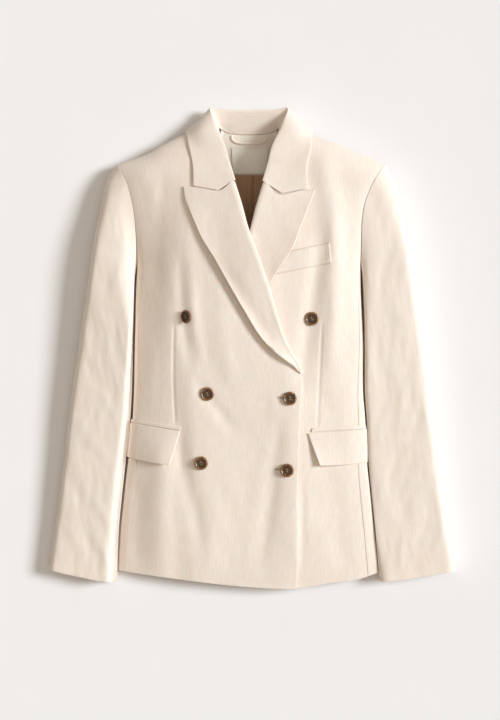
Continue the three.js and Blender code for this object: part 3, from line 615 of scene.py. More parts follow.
class Skin:
    """Heights of the laid garment over its plan."""

    def __init__(self) -> None:
        """Makes a smooth reading of each table."""
        self.edge = {Side.RIGHT: BODY.column("right"), Side.LEFT: BODY.column("left")}
        self.crown = BODY.column("crown")
        self.low_turn = BODY.column("turn")
        self.raised = RAISED_LEFT.column("rise")
        self.ease = ARM_EASE.column("ease")
        self.shoulder = SHOULDER.column("y")
        self.hem = HEM.column("y")
        self.neckline = NECKLINE.column("y")
        self.roll = {side: table.column("x") for side, table in ROLL.items()}

    def _swell(self, x: Array, y: Array, side_roll: tuple[float, float], shoulder_roll: float) -> Array:
        """Share of the full height, falling to 0 at the sides' turns and the shoulder line."""
        right = x < CENTRE_X
        inset = np.where(right, x - self.edge[Side.RIGHT](y), self.edge[Side.LEFT](y) - x)
        inset = inset + self.ease(y)
        wide = round_off(inset / np.where(right, *side_roll))
        steep = np.where(right, STEEP_SHARE, 0.0)
        return mix(wide, round_off(inset / STEEP_ROLL), steep) * round_off((self.shoulder(x) - y) / shoulder_roll)

    def turn(self, x: Array, y: Array) -> Array:
        """Height of the side's turn; it is higher at the wearer's left, where the sleeve leans on it."""
        return self.low_turn(y) + np.where(x > CENTRE_X, self.raised(y), 0.0)

    def over(self, x: Array, y: Array) -> Array:
        """Top face of the fronts and side bodies."""
        swell = self._swell(x, y, SIDE_ROLL, SHOULDER_ROLL)
        folds = sum(crease.rise(x, y) for crease in BODY_CREASES) + unevenness(x, y) + BODY_CRUMPLE * crumple(x, y)
        crown = self.crown(y)
        bulge = DOME_MIDDLE - ((x - CENTRE_X) / DOME_REACH) ** 2
        dome = DOME * bulge * smooth_step((DOME_TOP - y) / DOME_FADE) * crown
        return mix(self.turn(x, y), crown, swell) + (folds + self._darts(x, y) + dome) * swell

    def under(self, x: Array, y: Array) -> Array:
        """Bottom face, flat where it rests; a few creases are lifted off the surface."""
        flat = self._swell(x, y, (UNDER_ROLL, UNDER_ROLL), UNDER_ROLL)
        lift = NECK_LIFT * smooth_step((y - NECK_LIFT_FROM) / NECK_LIFT_OVER)
        folds = sum(crease.rise(x, y) for crease in BACK_CREASES)
        return mix(self.turn(x, y), lift + folds, flat)

    @staticmethod
    def _darts(x: Array, y: Array) -> Array:
        """Grooves of the front darts."""
        total = np.zeros(np.broadcast(x, y).shape)
        for side, line in DARTS:
            points = line.samples[::-1]
            off = x - np.interp(y, points[:, 1], points[:, 0])
            ends = smooth_step((y - points[0, 1]) / 4) * smooth_step((points[-1, 1] - y) / 40)
            total = total - DART_DEPTH * ends * np.exp(-((off / DART_WIDTH) ** 2))
        return total

    def front(self, side: Side, x: Array, y: Array) -> Array:
        """Top face of one front. The right one lies on the left one and on its lapel."""
        height = self.over(x, y)
        if side is Side.LEFT:
            return height
        lapped = (FRONT_LAY + CLOTH) * smooth_step((x - OVERLAP_EDGE) / OVERLAP_SLOPE + 1)
        fades = 1 - smooth_step((y - OVERLAP_FADE_FROM) / OVERLAP_FADE)
        (mx, my), (sx, sy) = ON_LAPEL_MIDDLE, ON_LAPEL_SPREAD
        on_lapel = ON_LAPEL * np.exp(-(((x - mx) / sx) ** 2) - ((y - my) / sy) ** 2)
        return height + lapped * fades + on_lapel

    def row(self, level: Array, x: Array) -> Array:
        """Height up the garment of a row that dips to follow the hem."""
        dip = self.hem(x) - HEM_LEVEL
        return level + dip * (1 - smooth_step((level - HEM_LEVEL) / HEM_FADE))

    def cut_edge(self, side: Side, y: Array) -> Array:
        """Plan x of a front's cut edge: it stands back from the visible roll above the break."""
        setback = ROLL_SETBACK * smooth_step((y - BREAK_LEVEL) / BREAK_FADE)
        return self.roll[side](y) + side.value * setback

    def edge_point(self, side: Side, y: Array) -> Array:
        """Points of a front's cut edge on its top face."""
        x = self.cut_edge(side, y)
        return np.stack([x, y, self.front(side, x, y)], axis=-1)

    def place_on_front(self, side: Side, x: Array, y: Array) -> tuple[Array, Array]:
        """Points on a front and the directions square to it.

        Args:
            side: Which front.
            x: Plan x of the places.
            y: Plan y of the places.

        Returns:
            The points and the unit normals.
        """
        near = Side.RIGHT if float(np.mean(x)) < CENTRE_X else Side.LEFT
        edge, sign = self.edge[near], near.value

        def at(root: Array, level: Array) -> Array:
            """Points on the front at square roots of the distance from the side."""
            px = edge(level) - sign * root**2
            return np.stack([px, level, self.front(side, px, level)], axis=-1)

        root = np.sqrt(np.maximum((edge(y) - x) * sign, 0.0))
        along = -sign * (at(root + 0.05, y) - at(root, y))
        up = at(root, y + 0.5) - at(root, y - 0.5)
        normal = np.cross(along, up)
        return at(root, y), normal / np.linalg.norm(normal, axis=-1, keepdims=True)


@dataclass
class Sheet:
    """A piece of cloth with a real thickness and softly rounded edges.

    Args:
        name: The CAD node that it stands for.
        points: Points of its outer face, in rows and columns.
        facing: Direction that the outer face looks in.
        thickness: How thick it is.
        grain: How its threads lie.
        edge: Radius of its rounded edges, as a share of half its thickness.
    """

    name: str
    points: Array
    facing: tuple[float, float, float] = (0.0, 0.0, 1.0)
    thickness: float = CLOTH
    grain: Grain = Grain.ROWS
    edge: float = 1.0

    ROUND = np.radians([30.0, 60.0, 90.0])

    def _normals(self, p: Array) -> Array:
        """Unit directions square to a grid of points."""
        normal = np.cross(np.gradient(p, axis=1), np.gradient(p, axis=0))
        length = np.linalg.norm(normal, axis=-1, keepdims=True)
        return normal / np.maximum(length, 1e-12)

    def _threads(self, p: Array) -> Array:
        """Place of each point in the cloth, in millimetres across and along the warp."""
        if self.grain is Grain.PLAN:
            return p[..., :2].copy()
        rows, columns = p.shape[:2]
        across = np.linalg.norm(np.diff(p, axis=1), axis=-1)
        across = np.concatenate([np.zeros((rows, 1)), np.cumsum(across, axis=1)], axis=1)
        across = across - across[:, columns // 2][:, None]
        along = np.linalg.norm(np.diff(p[:, columns // 2], axis=0), axis=-1)
        along = np.concatenate([[0.0], np.cumsum(along)])
        return np.stack([across, np.broadcast_to(along[:, None], across.shape)], axis=-1)

    def build(self) -> bpy.types.Object:
        """Makes the closed mesh: outer face, rounded rim and inner face."""
        p = np.asarray(self.points, float)
        n = self._normals(p)
        if np.dot(n[n.shape[0] // 2, n.shape[1] // 2], self.facing) < 0:
            p = p[:, ::-1]
            n = self._normals(p)
        rows, columns = p.shape[:2]
        index = np.arange(rows * columns).reshape(rows, columns)
        ring = np.concatenate([index[0], index[1:, -1], index[-1, -2::-1], index[-2:0:-1, 0]])
        flat, normal = p.reshape(-1, 3), n.reshape(-1, 3)
        tangent = np.roll(flat[ring], -1, axis=0) - np.roll(flat[ring], 1, axis=0)
        out = np.cross(tangent, normal[ring])
        out /= np.maximum(np.linalg.norm(out, axis=-1, keepdims=True), 1e-12)
        radius = self.thickness / 2 * self.edge
        outer = flat.copy()
        outer[ring] -= out * radius
        inner = outer - normal * self.thickness
        rims = [
            outer[ring] + radius * (normal[ring] * (math.cos(a) - 1) + out * math.sin(a)) for a in self.ROUND
        ]
        rims += [
            inner[ring] + radius * (normal[ring] * (1 - math.cos(a)) + out * math.sin(a)) for a in self.ROUND[::-1]
        ]
        vertices = np.vstack([outer, inner, *rims])
        count, around = rows * columns, len(ring)
        quads = np.stack([index[:-1, :-1], index[:-1, 1:], index[1:, 1:], index[1:, :-1]], axis=-1)
        faces = [quads.reshape(-1, 4), quads.reshape(-1, 4)[:, ::-1] + count]
        loops = [ring, *(2 * count + k * around + np.arange(around) for k in range(len(rims))), ring + count]
        for upper, lower in zip(loops[:-1], loops[1:]):
            faces.append(np.stack([np.roll(upper, -1), upper, lower, np.roll(lower, -1)], axis=-1))
        threads = self._threads(p).reshape(-1, 2)
        places = np.vstack([threads, threads, *(threads[ring] for _ in rims)])
        return solid_object(self.name, vertices, np.vstack(faces), places)


def solid_object(name: str, vertices: Array, faces: Array, places: Array | None = None) -> bpy.types.Object:
    """A smooth mesh object in the row frame.

    Args:
        name: Name of the piece.
        vertices: Points in millimetres.
        faces: Corner numbers, one face a row; a corner named twice makes a triangle.
        places: Place of each vertex in the cloth, in millimetres.

    Returns:
        The new object.
    """
    mesh = bpy.data.meshes.new(name)
    mesh.from_pydata((vertices * MM).tolist(), [], [tuple(dict.fromkeys(face)) for face in faces.tolist()])
    mesh.polygons.foreach_set("use_smooth", np.ones(len(mesh.polygons), bool))
    corners = np.empty(len(mesh.loops), np.int32)
    mesh.loops.foreach_get("vertex_index", corners)
    if places is None:
        places = vertices[:, :2]
    layer = mesh.uv_layers.new(name=CLOTH_MAP)
    layer.uv.foreach_set("vector", places[corners].astype(np.float32).ravel())
    mesh.update()
    made = bpy.data.objects.new(name, mesh)
    bpy.context.scene.collection.objects.link(made)
    return made


class Body:
    """Fronts, side bodies and backs."""

    LOW_ROWS = 128
    ARM_ROWS = 64
    FRONT_COLUMNS = 120
    BACK_COLUMNS = 52
    SIDE_COLUMNS = 26

    def __init__(self, skin: Skin) -> None:
        """Keeps the heights and the levels of the panels' rows."""
        self.skin = skin
        self.levels = mix(HEM_LEVEL, UNDERARM, shares(self.LOW_ROWS))
        self.side_over = SIDE_BODY.column("over")
        self.side_under = SIDE_BODY.column("under")

    def _side_line(self, side: Side, inset: Reading) -> Array:
        """Plan points up the side seam and then the armhole."""
        x = self.skin.edge[side](self.levels) - side.value * inset(self.levels)
        below = np.stack([x, self.skin.row(self.levels, x)], axis=-1)
        t = (1 - np.cos(math.pi * shares(self.ARM_ROWS)[1:])) / 2
        return np.vstack([below, ARMHOLE[side].curve().at(t)])

    def _matched(self, line: Array, x_at: Reading, top: float) -> Array:
        """Plan points up the panel's other side, at the same shares of its length."""
        foot = float(self.skin.hem(x_at(np.array(HEM_LEVEL))))
        y = mix(foot, top, (line[:, 1] - line[0, 1]) / (line[-1, 1] - line[0, 1]))
        return np.stack([x_at(y), y], axis=-1)

    def front(self, side: Side) -> Sheet:
        """One front, from its side seam to its cut edge."""
        skin = self.skin
        start = self._side_line(side, self.side_over)
        neck = NECK_POINT[side]
        top = float(skin.shoulder(np.array(neck)))
        end = self._matched(start, lambda y: skin.cut_edge(side, y), top)
        end[-1] = (neck, top)
        last = len(start) - 1

        def rail(a: Array, b: Array, y_at: Reading) -> Boundary:
            """Boundary between two points along a line whose y is read from x."""

            def points(u: Array) -> Array:
                """Points at shares of the way across."""
                x = mix(a[0], b[0], u)
                return np.stack([x, y_at(x)], axis=-1)

            return points

        def side_rail(line: Array) -> Boundary:
            """Boundary through the points of a line, one a row."""
            return lambda v: line[np.round(v * last).astype(int)]

        plan = between(
            rail(start[0], end[0], skin.hem),
            rail(start[-1], end[-1], skin.shoulder),
            side_rail(start),
            side_rail(end),
            shares(self.FRONT_COLUMNS) ** 1.4,
            shares(last),
        )
        height = skin.front(side, plan[..., 0], plan[..., 1])
        return Sheet(f"front_{side.label}", np.dstack([plan, height]), grain=Grain.PLAN, edge=SEWN)

    def back(self, side: Side) -> Sheet:
        """Half of the back, from its side seam to the centre seam."""
        skin = self.skin
        start = self._side_line(side, self.side_under)
        start[self.LOW_ROWS + 1 : -1, 0] -= side.value * 2 * SEAM
        centre = CENTRE_X + side.value * SEAM / 2
        top = float(skin.neckline(np.array(centre)))
        end = self._matched(start, lambda y: np.full(np.shape(y), centre), top)
        last = len(start) - 1
        neck, corner = NECK_POINT[side], start[-1, 0]
        share = 0.625

        def shoulder_and_neck(u: Array) -> Array:
            """Points along the shoulder and then the neckline."""
            on_shoulder = u < share
            x = np.where(on_shoulder, mix(corner, neck, u / share), mix(neck, centre, (u - share) / (1 - share)))
            y = np.where(on_shoulder, skin.shoulder(x), np.minimum(skin.shoulder(x), skin.neckline(x)))
            return np.stack([x, y], axis=-1)

        def hem(u: Array) -> Array:
            """Points along the hem."""
            x = mix(start[0, 0], centre, u)
            return np.stack([x, skin.hem(x)], axis=-1)

        plan = between(
            hem,
            shoulder_and_neck,
            lambda v: start[np.round(v * last).astype(int)],
            lambda v: end[np.round(v * last).astype(int)],
            shares(self.BACK_COLUMNS),
            shares(last),
        )
        x, y = plan[..., 0], plan[..., 1]
        height = np.minimum(skin.under(x, y), skin.turn(x, y) - 2 * SEAM)
        return Sheet(f"back_{side.label}", np.dstack([plan, height]), (0.0, 0.0, -1.0), grain=Grain.PLAN, edge=SEWN)

    def side(self, side: Side) -> Sheet:
        """The side body, which turns under between front and back."""
        skin = self.skin
        level = self.levels[:, None].copy()
        over, under = np.sqrt(np.maximum(self.side_over(level), 0)), np.sqrt(self.side_under(level))
        top = over - SEAM / np.maximum(2 * over, 5)
        low = -under + SEAM / np.maximum(2 * under, 5)
        level[-1] -= 2 * SEAM
        root = mix(top, low, shares(self.SIDE_COLUMNS)[None])
        x = skin.edge[side](level) - side.value * root**2
        y = skin.row(level + 0 * root, x)
        height = np.where(root > 0, skin.over(x, y), skin.under(x, y))
        return Sheet(f"side_{side.label}", np.dstack([x, y, height]), (float(side.value), 0.0, 0.0), edge=SEWN)

    def sheets(self) -> list[Sheet]:
        """Every piece of the body."""
        made = []
        for side in Side:
            made += [self.front(side), self.side(side), self.back(side)]
        return made


class Sleeve:
    """A two-piece sleeve: rings that leave the armhole and turn to the cuff."""

    ROWS = 190
    TOP_COLUMNS = 64
    UNDER_COLUMNS = 34
    SEAM_ANGLE = math.pi / 9
    SEAM_GAP = 0.022
    # Powers of the round sections of the top and under sleeve: a higher one has a flatter middle
    FULLNESS = 13.0
    UNDER_FULLNESS = 5.0
    # Share of the placed creases' height that is kept beside the fine crumples
    CREASED = 0.55
    # Share of the length over which the armhole's form passes into the sleeve's
    BLEND = 0.24

    def __init__(self, skin: Skin, side: Side) -> None:
        """Keeps the heights and the sleeve's outline."""
        self.skin = skin
        self.side = side
        self.plan = SLEEVES[side]

    def points(self, angle: Array, v: Array) -> Array:
        """Points of the sleeve's skin.

        Args:
            angle: Angles round it, from the outer edge over the top.
            v: Shares of the way from armhole to cuff.

        Returns:
            Points in rows along v and columns along angle.
        """
        side, skin = self.side, self.skin
        outer, inner, cuff = (t.curve() for t in (self.plan.outer, self.plan.inner, self.plan.cuff))
        mouth = ARMHOLE[side].curve()
        u = (1 - np.cos(angle)) / 2
        shift = np.array([side.value * SEAM * 2.6, 0.0])
        plan = between(lambda t: mouth.at(1 - t) + shift, cuff.at, outer.along, inner.along, u, v)
        seam = mouth.at(1 - u)
        top = np.sin(angle) >= 0
        mouth_height = np.where(top, skin.over(seam[:, 0], seam[:, 1]), skin.under(seam[:, 0], seam[:, 1]))
        crown, low_outer, low_inner = (SLEEVE_HEIGHT.column(n)(v)[:, None] for n in ("crown", "outer", "inner"))
        low_inner = low_inner + self.plan.raised * (smooth_step(v * 3) * (1 - 0.7 * smooth_step(v * 6 - 5)))[:, None]
        turn = mix(low_outer, low_inner, u[None])
        flat = np.sqrt(np.maximum(1 - np.abs(2 * u - 1) ** self.UNDER_FULLNESS, 0))
        ledge = 1 - self.plan.ledge * smooth_step(v * 3 - 0.3)[:, None]
        across = 2 * np.minimum(u[None] / ledge, 1) - 1
        swell = np.sqrt(1 - np.abs(across) ** self.FULLNESS) * (1 + self.plan.tilt * (0.25 + v[:, None]) * across)
        tube = np.where(top, mix(turn, crown, swell), turn * (1 - flat))
        x, y = plan[..., 0], plan[..., 1]
        creases = self.CREASED * sum(crease.rise(x, y) for crease in self.plan.creases)
        folds = creases + unevenness(x, y) + crumple(x, y)
        folds = np.where(top, folds * swell, 0.0)
        height = mix(mouth_height[None], tube, smooth_step(v / self.BLEND)[:, None])
        return np.dstack([plan, height + folds * smooth_step(v * 12)[:, None]])

    def sheets(self) -> list[Sheet]:
        """Top sleeve and under sleeve."""
        t = shares(self.ROWS)
        v = mix(t, t**2, 0.35)
        step, gap = self.SEAM_ANGLE, self.SEAM_GAP
        over = mix(-step, math.pi + step, shares(self.TOP_COLUMNS))
        below = mix(math.pi + step + gap, 2 * math.pi - step - gap, shares(self.UNDER_COLUMNS))
        label = self.side.label
        return [
            Sheet(f"topsleeve_{label}", self.points(over, v), edge=SEWN),
            Sheet(f"undersleeve_{label}", self.points(below, v), (0.0, 0.0, -1.0), edge=SEWN),
        ]


def turn_over(edge: Array, sign: int, radius: Array, angles: Array, gap: float) -> Array:
    """Points of the convex face as cloth leaves a cut edge and turns over on itself.

    Args:
        edge: Points of the cut edge, one a row.
        sign: Sign of x on that side.
        radius: Inner radius of the turn, one for each point or one for all.
        angles: Angles round the turn.
        gap: Gap to the cut edge.

    Returns:
        Points in rows along the edge and columns round the turn.
    """
    radius = np.broadcast_to(radius, edge.shape[:1])[:, None]
    start = edge + np.array([-sign * gap, 0.0, -CLOTH])
    x = edge[:, :1] + sign * ((radius + CLOTH) * np.cos(angles) - gap - TURN_START)
    z = edge[:, 2:] + radius + (radius + CLOTH) * np.sin(angles)
    y = np.broadcast_to(edge[:, 1:2], x.shape)
    return np.concatenate([start[:, None], np.dstack([x, y, z])], axis=1)


@dataclass(frozen=True)
class LapelPlan:
    """Outline of a peak lapel: top edge from roll to tip, outer edge from tip to break.

    Args:
        top: Gorge and top edge.
        outer: Outer edge.
        lowest: Level at which it leaves the front.
        stand: How far its outer edge stands off the front.
        end_radius: Radius of its turn at the lowest level.
    """

    top: Table
    outer: Table
    lowest: float
    stand: float
    end_radius: float


LAPELS = {
    Side.RIGHT: LapelPlan(
        top=Table("x y", (-34.5, 242.6), (-51.5, 228.8), (-80, 233.3), (-101, 235.3)),
        outer=Table(
            "x y",
            (-101, 235.3),
            (-98.4, 217.6),
            (-87, 188.9),
            (-73.5, 158.5),
            (-56.6, 131.4),
            (-34.7, 92.6),
            (-11, 52.2),
            (12.5, 15),
            (32.8, -6.5),
            (50, -19.5),
            (62.5, -28.5),
            (67.8, -36),
        ),
        lowest=-37,
        stand=7.5,
        end_radius=0.4,
    ),
    Side.LEFT: LapelPlan(
        top=Table("x y", (25.5, 241), (42.2, 224.2), (70, 229.3), (91, 230.5)),
        outer=Table(
            "x y",
            (91, 230.5),
            (86.7, 217.6),
            (73.4, 183.8),
            (58, 145),
            (39.5, 116.3),
            (23.5, 91.1),
            (16, 78),
        ),
        lowest=126,
        stand=10,
        end_radius=0.6,
    ),
}


class Lapel:
    """A lapel: it leaves the cut edge of its front, turns over and lies back on it."""

    ROWS = 130
    TURN_STEPS = 12
    FLAT_STEPS = 40
    CURL_LOW = 1.4

    def __init__(self, skin: Skin, side: Side) -> None:
        """Keeps the heights and the lapel's outline."""
        self.skin = skin
        self.side = side
        self.plan = LAPELS[side]

    def sheet(self) -> Sheet:
        """The lapel's convex face, from the cut edge round the turn to its outer edge."""
        plan, side, skin = self.plan, self.side, self.skin
        top, outer = plan.top.curve(), plan.outer.curve()
        highest = float(plan.top.rows[0, 1])

        def hinge(t: Array) -> Array:
            """Points down the front's cut edge."""
            y = mix(highest, plan.lowest, np.asarray(t))
            return np.stack([skin.cut_edge(side, y), y], axis=-1)

        start = hinge(np.array([0.0, 1.0]))
        u = mix(0.03, 1.0, shares(self.FLAT_STEPS) ** 1.1)
        v = shares(self.ROWS)
        flat = between(
            lambda t: top.at(t) + (start[0] - top.at(0.0)) * (1 - t)[:, None],
            lambda t: mix(start[1], outer.at(1.0), t[:, None]),
            hinge,
            outer.at,
            u,
            v,
        )
        radius = mix(TURN_RADIUS, plan.end_radius, smooth_step((v - 0.7) / 0.3))
        curl = plan.stand * np.sin(math.pi * v**self.CURL_LOW)[:, None] * u[None] ** 1.6
        rise = 2 * radius[:, None] * (1 - u[None]) ** 2.2 + curl
        height = skin.front(side, flat[..., 0], flat[..., 1]) + LAY + CLOTH + rise
        edge = skin.edge_point(side, mix(highest, plan.lowest, v))
        angles = mix(-math.pi / 2, -4.5, shares(self.TURN_STEPS))
        turned = turn_over(edge, side.value, radius, angles, SEAM * 1.4)
        points = np.concatenate([turned, np.dstack([flat, height])], axis=1)
        return Sheet(f"lapel_{side.label}", points)


class Collar:
    """Stand and fall in one piece, folded at the roll, its ends turned over like the lapels."""

    ROWS = 182
    COLUMNS = 45
    LEFT_STRETCH = 1.03
    SPOTS = 6
    CREASED = 0.09
    END_ANGLES = np.array([-math.pi / 2, -3.14, -4.2])
    ENDS = {
        Side.RIGHT: Table(
            "hinge mx my ox oy rise lift",
            (243.3, -51.4, 229.5, -86.6, 236.0, 0.3, 0.5),
            (270, -63, 262, -87.5, 266, 0.8, 0.8),
            (296, -70, 292, -94, 297.5, 2, 1.2),
        ),
        Side.LEFT: Table(
            "hinge mx my ox oy rise lift",
            (241.7, 42.2, 225.0, 80.8, 232.4, 0.3, 2.0),
            (268, 52, 258, 79.5, 262, 0.8, 3.6),
            (295, 59, 290, 86, 293, 2, 4.0),
        ),
    }
    # Sections from the right shoulder to the middle of the back: neck seam, stand, roll, turn, fall, outer edge
    NECK = (
        (
            (-54.2, 327.5, 22),
            (-50.5, 326, 27),
            (-52.5, 328, 33),
            (-58, 327.5, 36.5),
            (-77, 321.5, 37),
            (-97.6, 315, 28.5),
        ),
        ((-49, 326, 12), (-55.5, 340, 17), (-61.6, 354, 20), (-64.8, 353, 17), (-79.5, 337, 16), (-98, 321.5, 13)),
        ((-38, 319.4, 4.6), (-42, 336, 12.5), (-46.5, 351.6, 17.5), (-50, 352, 12), (-61, 336, 3.4), (-73, 308, 0.6)),
        ((-24, 317.4, 4.4), (-26, 335, 11.6), (-27.5, 350, 16.5), (-28.5, 352, 11.5), (-31, 339, 2), (-34, 305, 0)),
        ((-6, 316.5, 4.4), (-6, 334.5, 11.2), (-6, 349, 16), (-6, 351.4, 11), (-6, 339, 2), (-6, 304.5, 0)),
    )

    def __init__(self, skin: Skin) -> None:
        """Keeps the heights that the collar lies on."""
        self.skin = skin

    def neck_sections(self) -> Array:
        """Sections round the back of the neck, from the right shoulder to the left one."""
        right = np.array(self.NECK, float)
        left = right[-2::-1].copy()
        left[..., 0] = CENTRE_X + (CENTRE_X - left[..., 0]) * self.LEFT_STRETCH
        return np.concatenate([right, left])

    def _end(self, side: Side) -> Array:
        """Sections where the collar lies on a front."""
        rows = self.ENDS[side].rows
        edge = self.skin.edge_point(side, rows[:, 0])
        turned = turn_over(edge, side.value, TURN_RADIUS, self.END_ANGLES, 2.4 * SEAM)
        flat = []
        for x, y, lift in ((rows[:, 1], rows[:, 2], rows[:, 5]), (rows[:, 3], rows[:, 4], rows[:, 6])):
            flat.append(np.stack([x, y, self.skin.front(side, x, y) + LAY + CLOTH + lift], axis=-1))
        return np.concatenate([turned, np.stack(flat, axis=1)], axis=1)

    def sheet(self) -> Sheet:
        """The collar's convex face, from the neck seam over the roll to the outer edge."""
        sections = np.concatenate([self._end(Side.RIGHT), self.neck_sections(), self._end(Side.LEFT)[::-1]])
        v = shares(self.ROWS)
        rails = np.stack([Curve(sections[:, i]).at(v) for i in range(self.SPOTS)], axis=1)
        t = shares(self.COLUMNS)
        rounded = np.stack([Curve(section, even=True).at(t) for section in rails])
        place = shares(self.SPOTS - 1)
        creased = np.stack([[np.interp(t, place, axis) for axis in section.T] for section in rails])
        end = 1 - smooth_step(np.minimum(v, 1 - v) / self.CREASED)
        share = end[:, None, None] * smooth_step((t - place[3]) * 12)[:, None]
        points = mix(rounded, creased.transpose(0, 2, 1), share)
        points[..., 2] = np.maximum(points[..., 2], 0.0)
        return Sheet("collar", points)


@dataclass(frozen=True)
class Patch:
    """A flat piece sewn on a front, given by its corners seen from above.

    Args:
        name: The CAD node that it stands for.
        side: The front that it lies on.
        corners: Top start, top end, low end and low start, start being the lower x.
        gap: Gap to the front.
        thickness: How thick it is.
        columns: Columns across.
        rows: Rows down.
        crowd_low: How closely columns crowd at the start.
        crowd_high: How closely columns crowd at the end.
        dip: How far its low edge bows down.
        lift: How far its low starting corner stands off the front, negative for the other corner.
        puff: How far its middle stands off the front.
    """

    name: str
    side: Side
    corners: tuple[tuple[float, float], ...]
    gap: float
    thickness: float
    columns: int = 48
    rows: int = 24
    crowd_low: float = 1.0
    crowd_high: float = 1.0
    dip: float = 0.0
    lift: float = 0.0
    puff: float = 0.0

    def sheet(self, skin: Skin) -> Sheet:
        """The patch laid on its front."""
        top_start, top_end, low_end, low_start = (np.array(c) for c in self.corners)
        t = shares(self.columns)[None, :, None]
        u = 1 - (1 - t**self.crowd_low) ** self.crowd_high
        v = shares(self.rows)[:, None, None]
        plan = mix(mix(top_start, top_end, u), mix(low_start, low_end, u), v)
        across, down = u[..., 0], v[..., 0]
        plan[..., 1] -= self.dip * down * np.sin(math.pi * across)
        point, normal = skin.place_on_front(self.side, plan[..., 0], plan[..., 1])
        lifted = (1 - across) ** 2.5 if self.lift > 0 else across**1.2
        stand = abs(self.lift) * lifted * down**1.3 + self.puff * np.sin(math.pi * across) * down
        off = self.gap + self.thickness + stand
        return Sheet(self.name, point + normal * off[..., None], thickness=self.thickness)


PATCHES = (
    Patch("pocket_jet_right", Side.RIGHT, ((-177.2, -104.6), (-104.2, -115), (-105.1, -120.3), (-177.6, -109.6)),
          0.75, 1.2, rows=6, crowd_low=1.7),
    Patch("pocket_flap_right", Side.RIGHT, ((-177.6, -110), (-105.2, -121.4), (-121, -170.2), (-183, -160.5)),
          0.8, CLOTH, crowd_low=1.7, dip=1.5, lift=-8.0, puff=0.4),
    Patch("pocket_jet_left", Side.LEFT, ((87.3, -116.9), (165.4, -113.6), (166, -118.2), (85.4, -122.4)),
          0.75, 1.2, rows=6, crowd_high=1.7),
    Patch("pocket_flap_left", Side.LEFT, ((80.7, -124.6), (166, -118.6), (167.6, -167.8), (96.7, -171)),
          0.8, CLOTH, crowd_high=1.7, dip=1.5, lift=7.0, puff=0.8),
    Patch("breast_welt", Side.LEFT, ((33.5, 108.2), (114.8, 124.3), (112, 152.1), (49, 138.5)),
          0.5, 1.6, puff=1.6),
)


@dataclass(frozen=True)
class InsidePiece:
    """A piece that lies inside the back neck.

    Args:
        name: The CAD node that it stands for.
        rows: Level, x where it starts and x where it ends, from the top down.
        gap: Gap to the back.
        thickness: How thick it is.
        pleat: Height of the ridge of its centre pleat.
    """

    name: str
    rows: Table
    gap: float
    thickness: float = LINING
    pleat: float = 0.0

    ROWS = 60
    COLUMNS = 80

    def sheet(self, skin: Skin) -> Sheet:
        """The piece laid on the back."""
        table = self.rows.rows
        t = shares(self.ROWS)
        place = np.linspace(0.0, 1.0, len(table))
        y, start, end = (np.interp(t, place, table[:, k])[:, None] for k in range(3))
        x = mix(start, end, shares(self.COLUMNS)[None])
        y = y + 0 * x
        off = (x + 1.3) / 5
        fold = self.pleat * np.where(off < 0, np.exp(-(off**2)), np.exp(-((off * 4) ** 2)))
        height = skin.under(x, y) + CLOTH + self.gap + self.thickness + fold
        return Sheet(self.name, np.dstack([x, y, height]), thickness=self.thickness)


INSIDE = (
    InsidePiece("back_lining", Table("y start end", (257, -70, 58), (190, -70, 58), (120, -70, 58)), 0.5, pleat=2.0),
    InsidePiece("neck_label", Table("y start end", (297, -31.3, 23.5), (258.6, -30, 20.5)), 0.5 + LINING + 0.4),
)


class NeckFacing:
    """The facing inside the back neck; its top edge is sewn to the collar's stand."""

    ROWS = 70
    COLUMNS = 90
    BOTTOM = 257.6
    GAP = 0.5

    def sheet(self, skin: Skin) -> Sheet:
        """The facing laid on the back and drawn up to the neck seam."""
        seam = Curve(Collar(skin).neck_sections()[1:-1, 0])
        u, v = shares(self.COLUMNS), shares(self.ROWS)[:, None]
        top = seam.along(mix(0.04, 0.96, u))
        x = mix(top[:, 0], mix(-62.0, 50.0, u), v)
        y = mix(top[:, 1] - 2 * SEAM, self.BOTTOM, v)
        laid = skin.under(x, y) + CLOTH + self.GAP + LINING
        height = mix(np.maximum(top[:, 2] - 1, laid), laid, smooth_step(v * 3))
        return Sheet("back_neck_facing", np.dstack([x, y, height]), thickness=LINING)


class HangerLoop:
    """A narrow loop of cloth sewn into the back neck."""

    WIDTH = 4.0
    STEPS = 60
    ARC = Table(
        "x y",
        (-30.6, 316),
        (-29.8, 310),
        (-25, 305.8),
        (-13, 304),
        (2, 304),
        (14.5, 305.4),
        (19.9, 309.2),
        (20.8, 316),
    )

    def sheet(self) -> Sheet:
        """The loop, rounded over its width like a turned tube."""
        arc = self.ARC.curve()
        t = shares(self.STEPS)
        middle = arc.along(t)
        tangent = np.gradient(middle, axis=0)
        tangent /= np.linalg.norm(tangent, axis=1, keepdims=True)
        k = np.linspace(-1.0, 1.0, 9)
        x = middle[:, :1] - tangent[:, 1:] * k * self.WIDTH / 2
        y = middle[:, 1:] + tangent[:, :1] * k * self.WIDTH / 2
        height = NECK_LIFT + CLOTH + 0.8 + 2 * LINING + np.sin(math.pi * t)[:, None] + 0.5 * (1 - k**2)
        return Sheet("hanger_loop", np.dstack([x, y, height]), thickness=LINING)


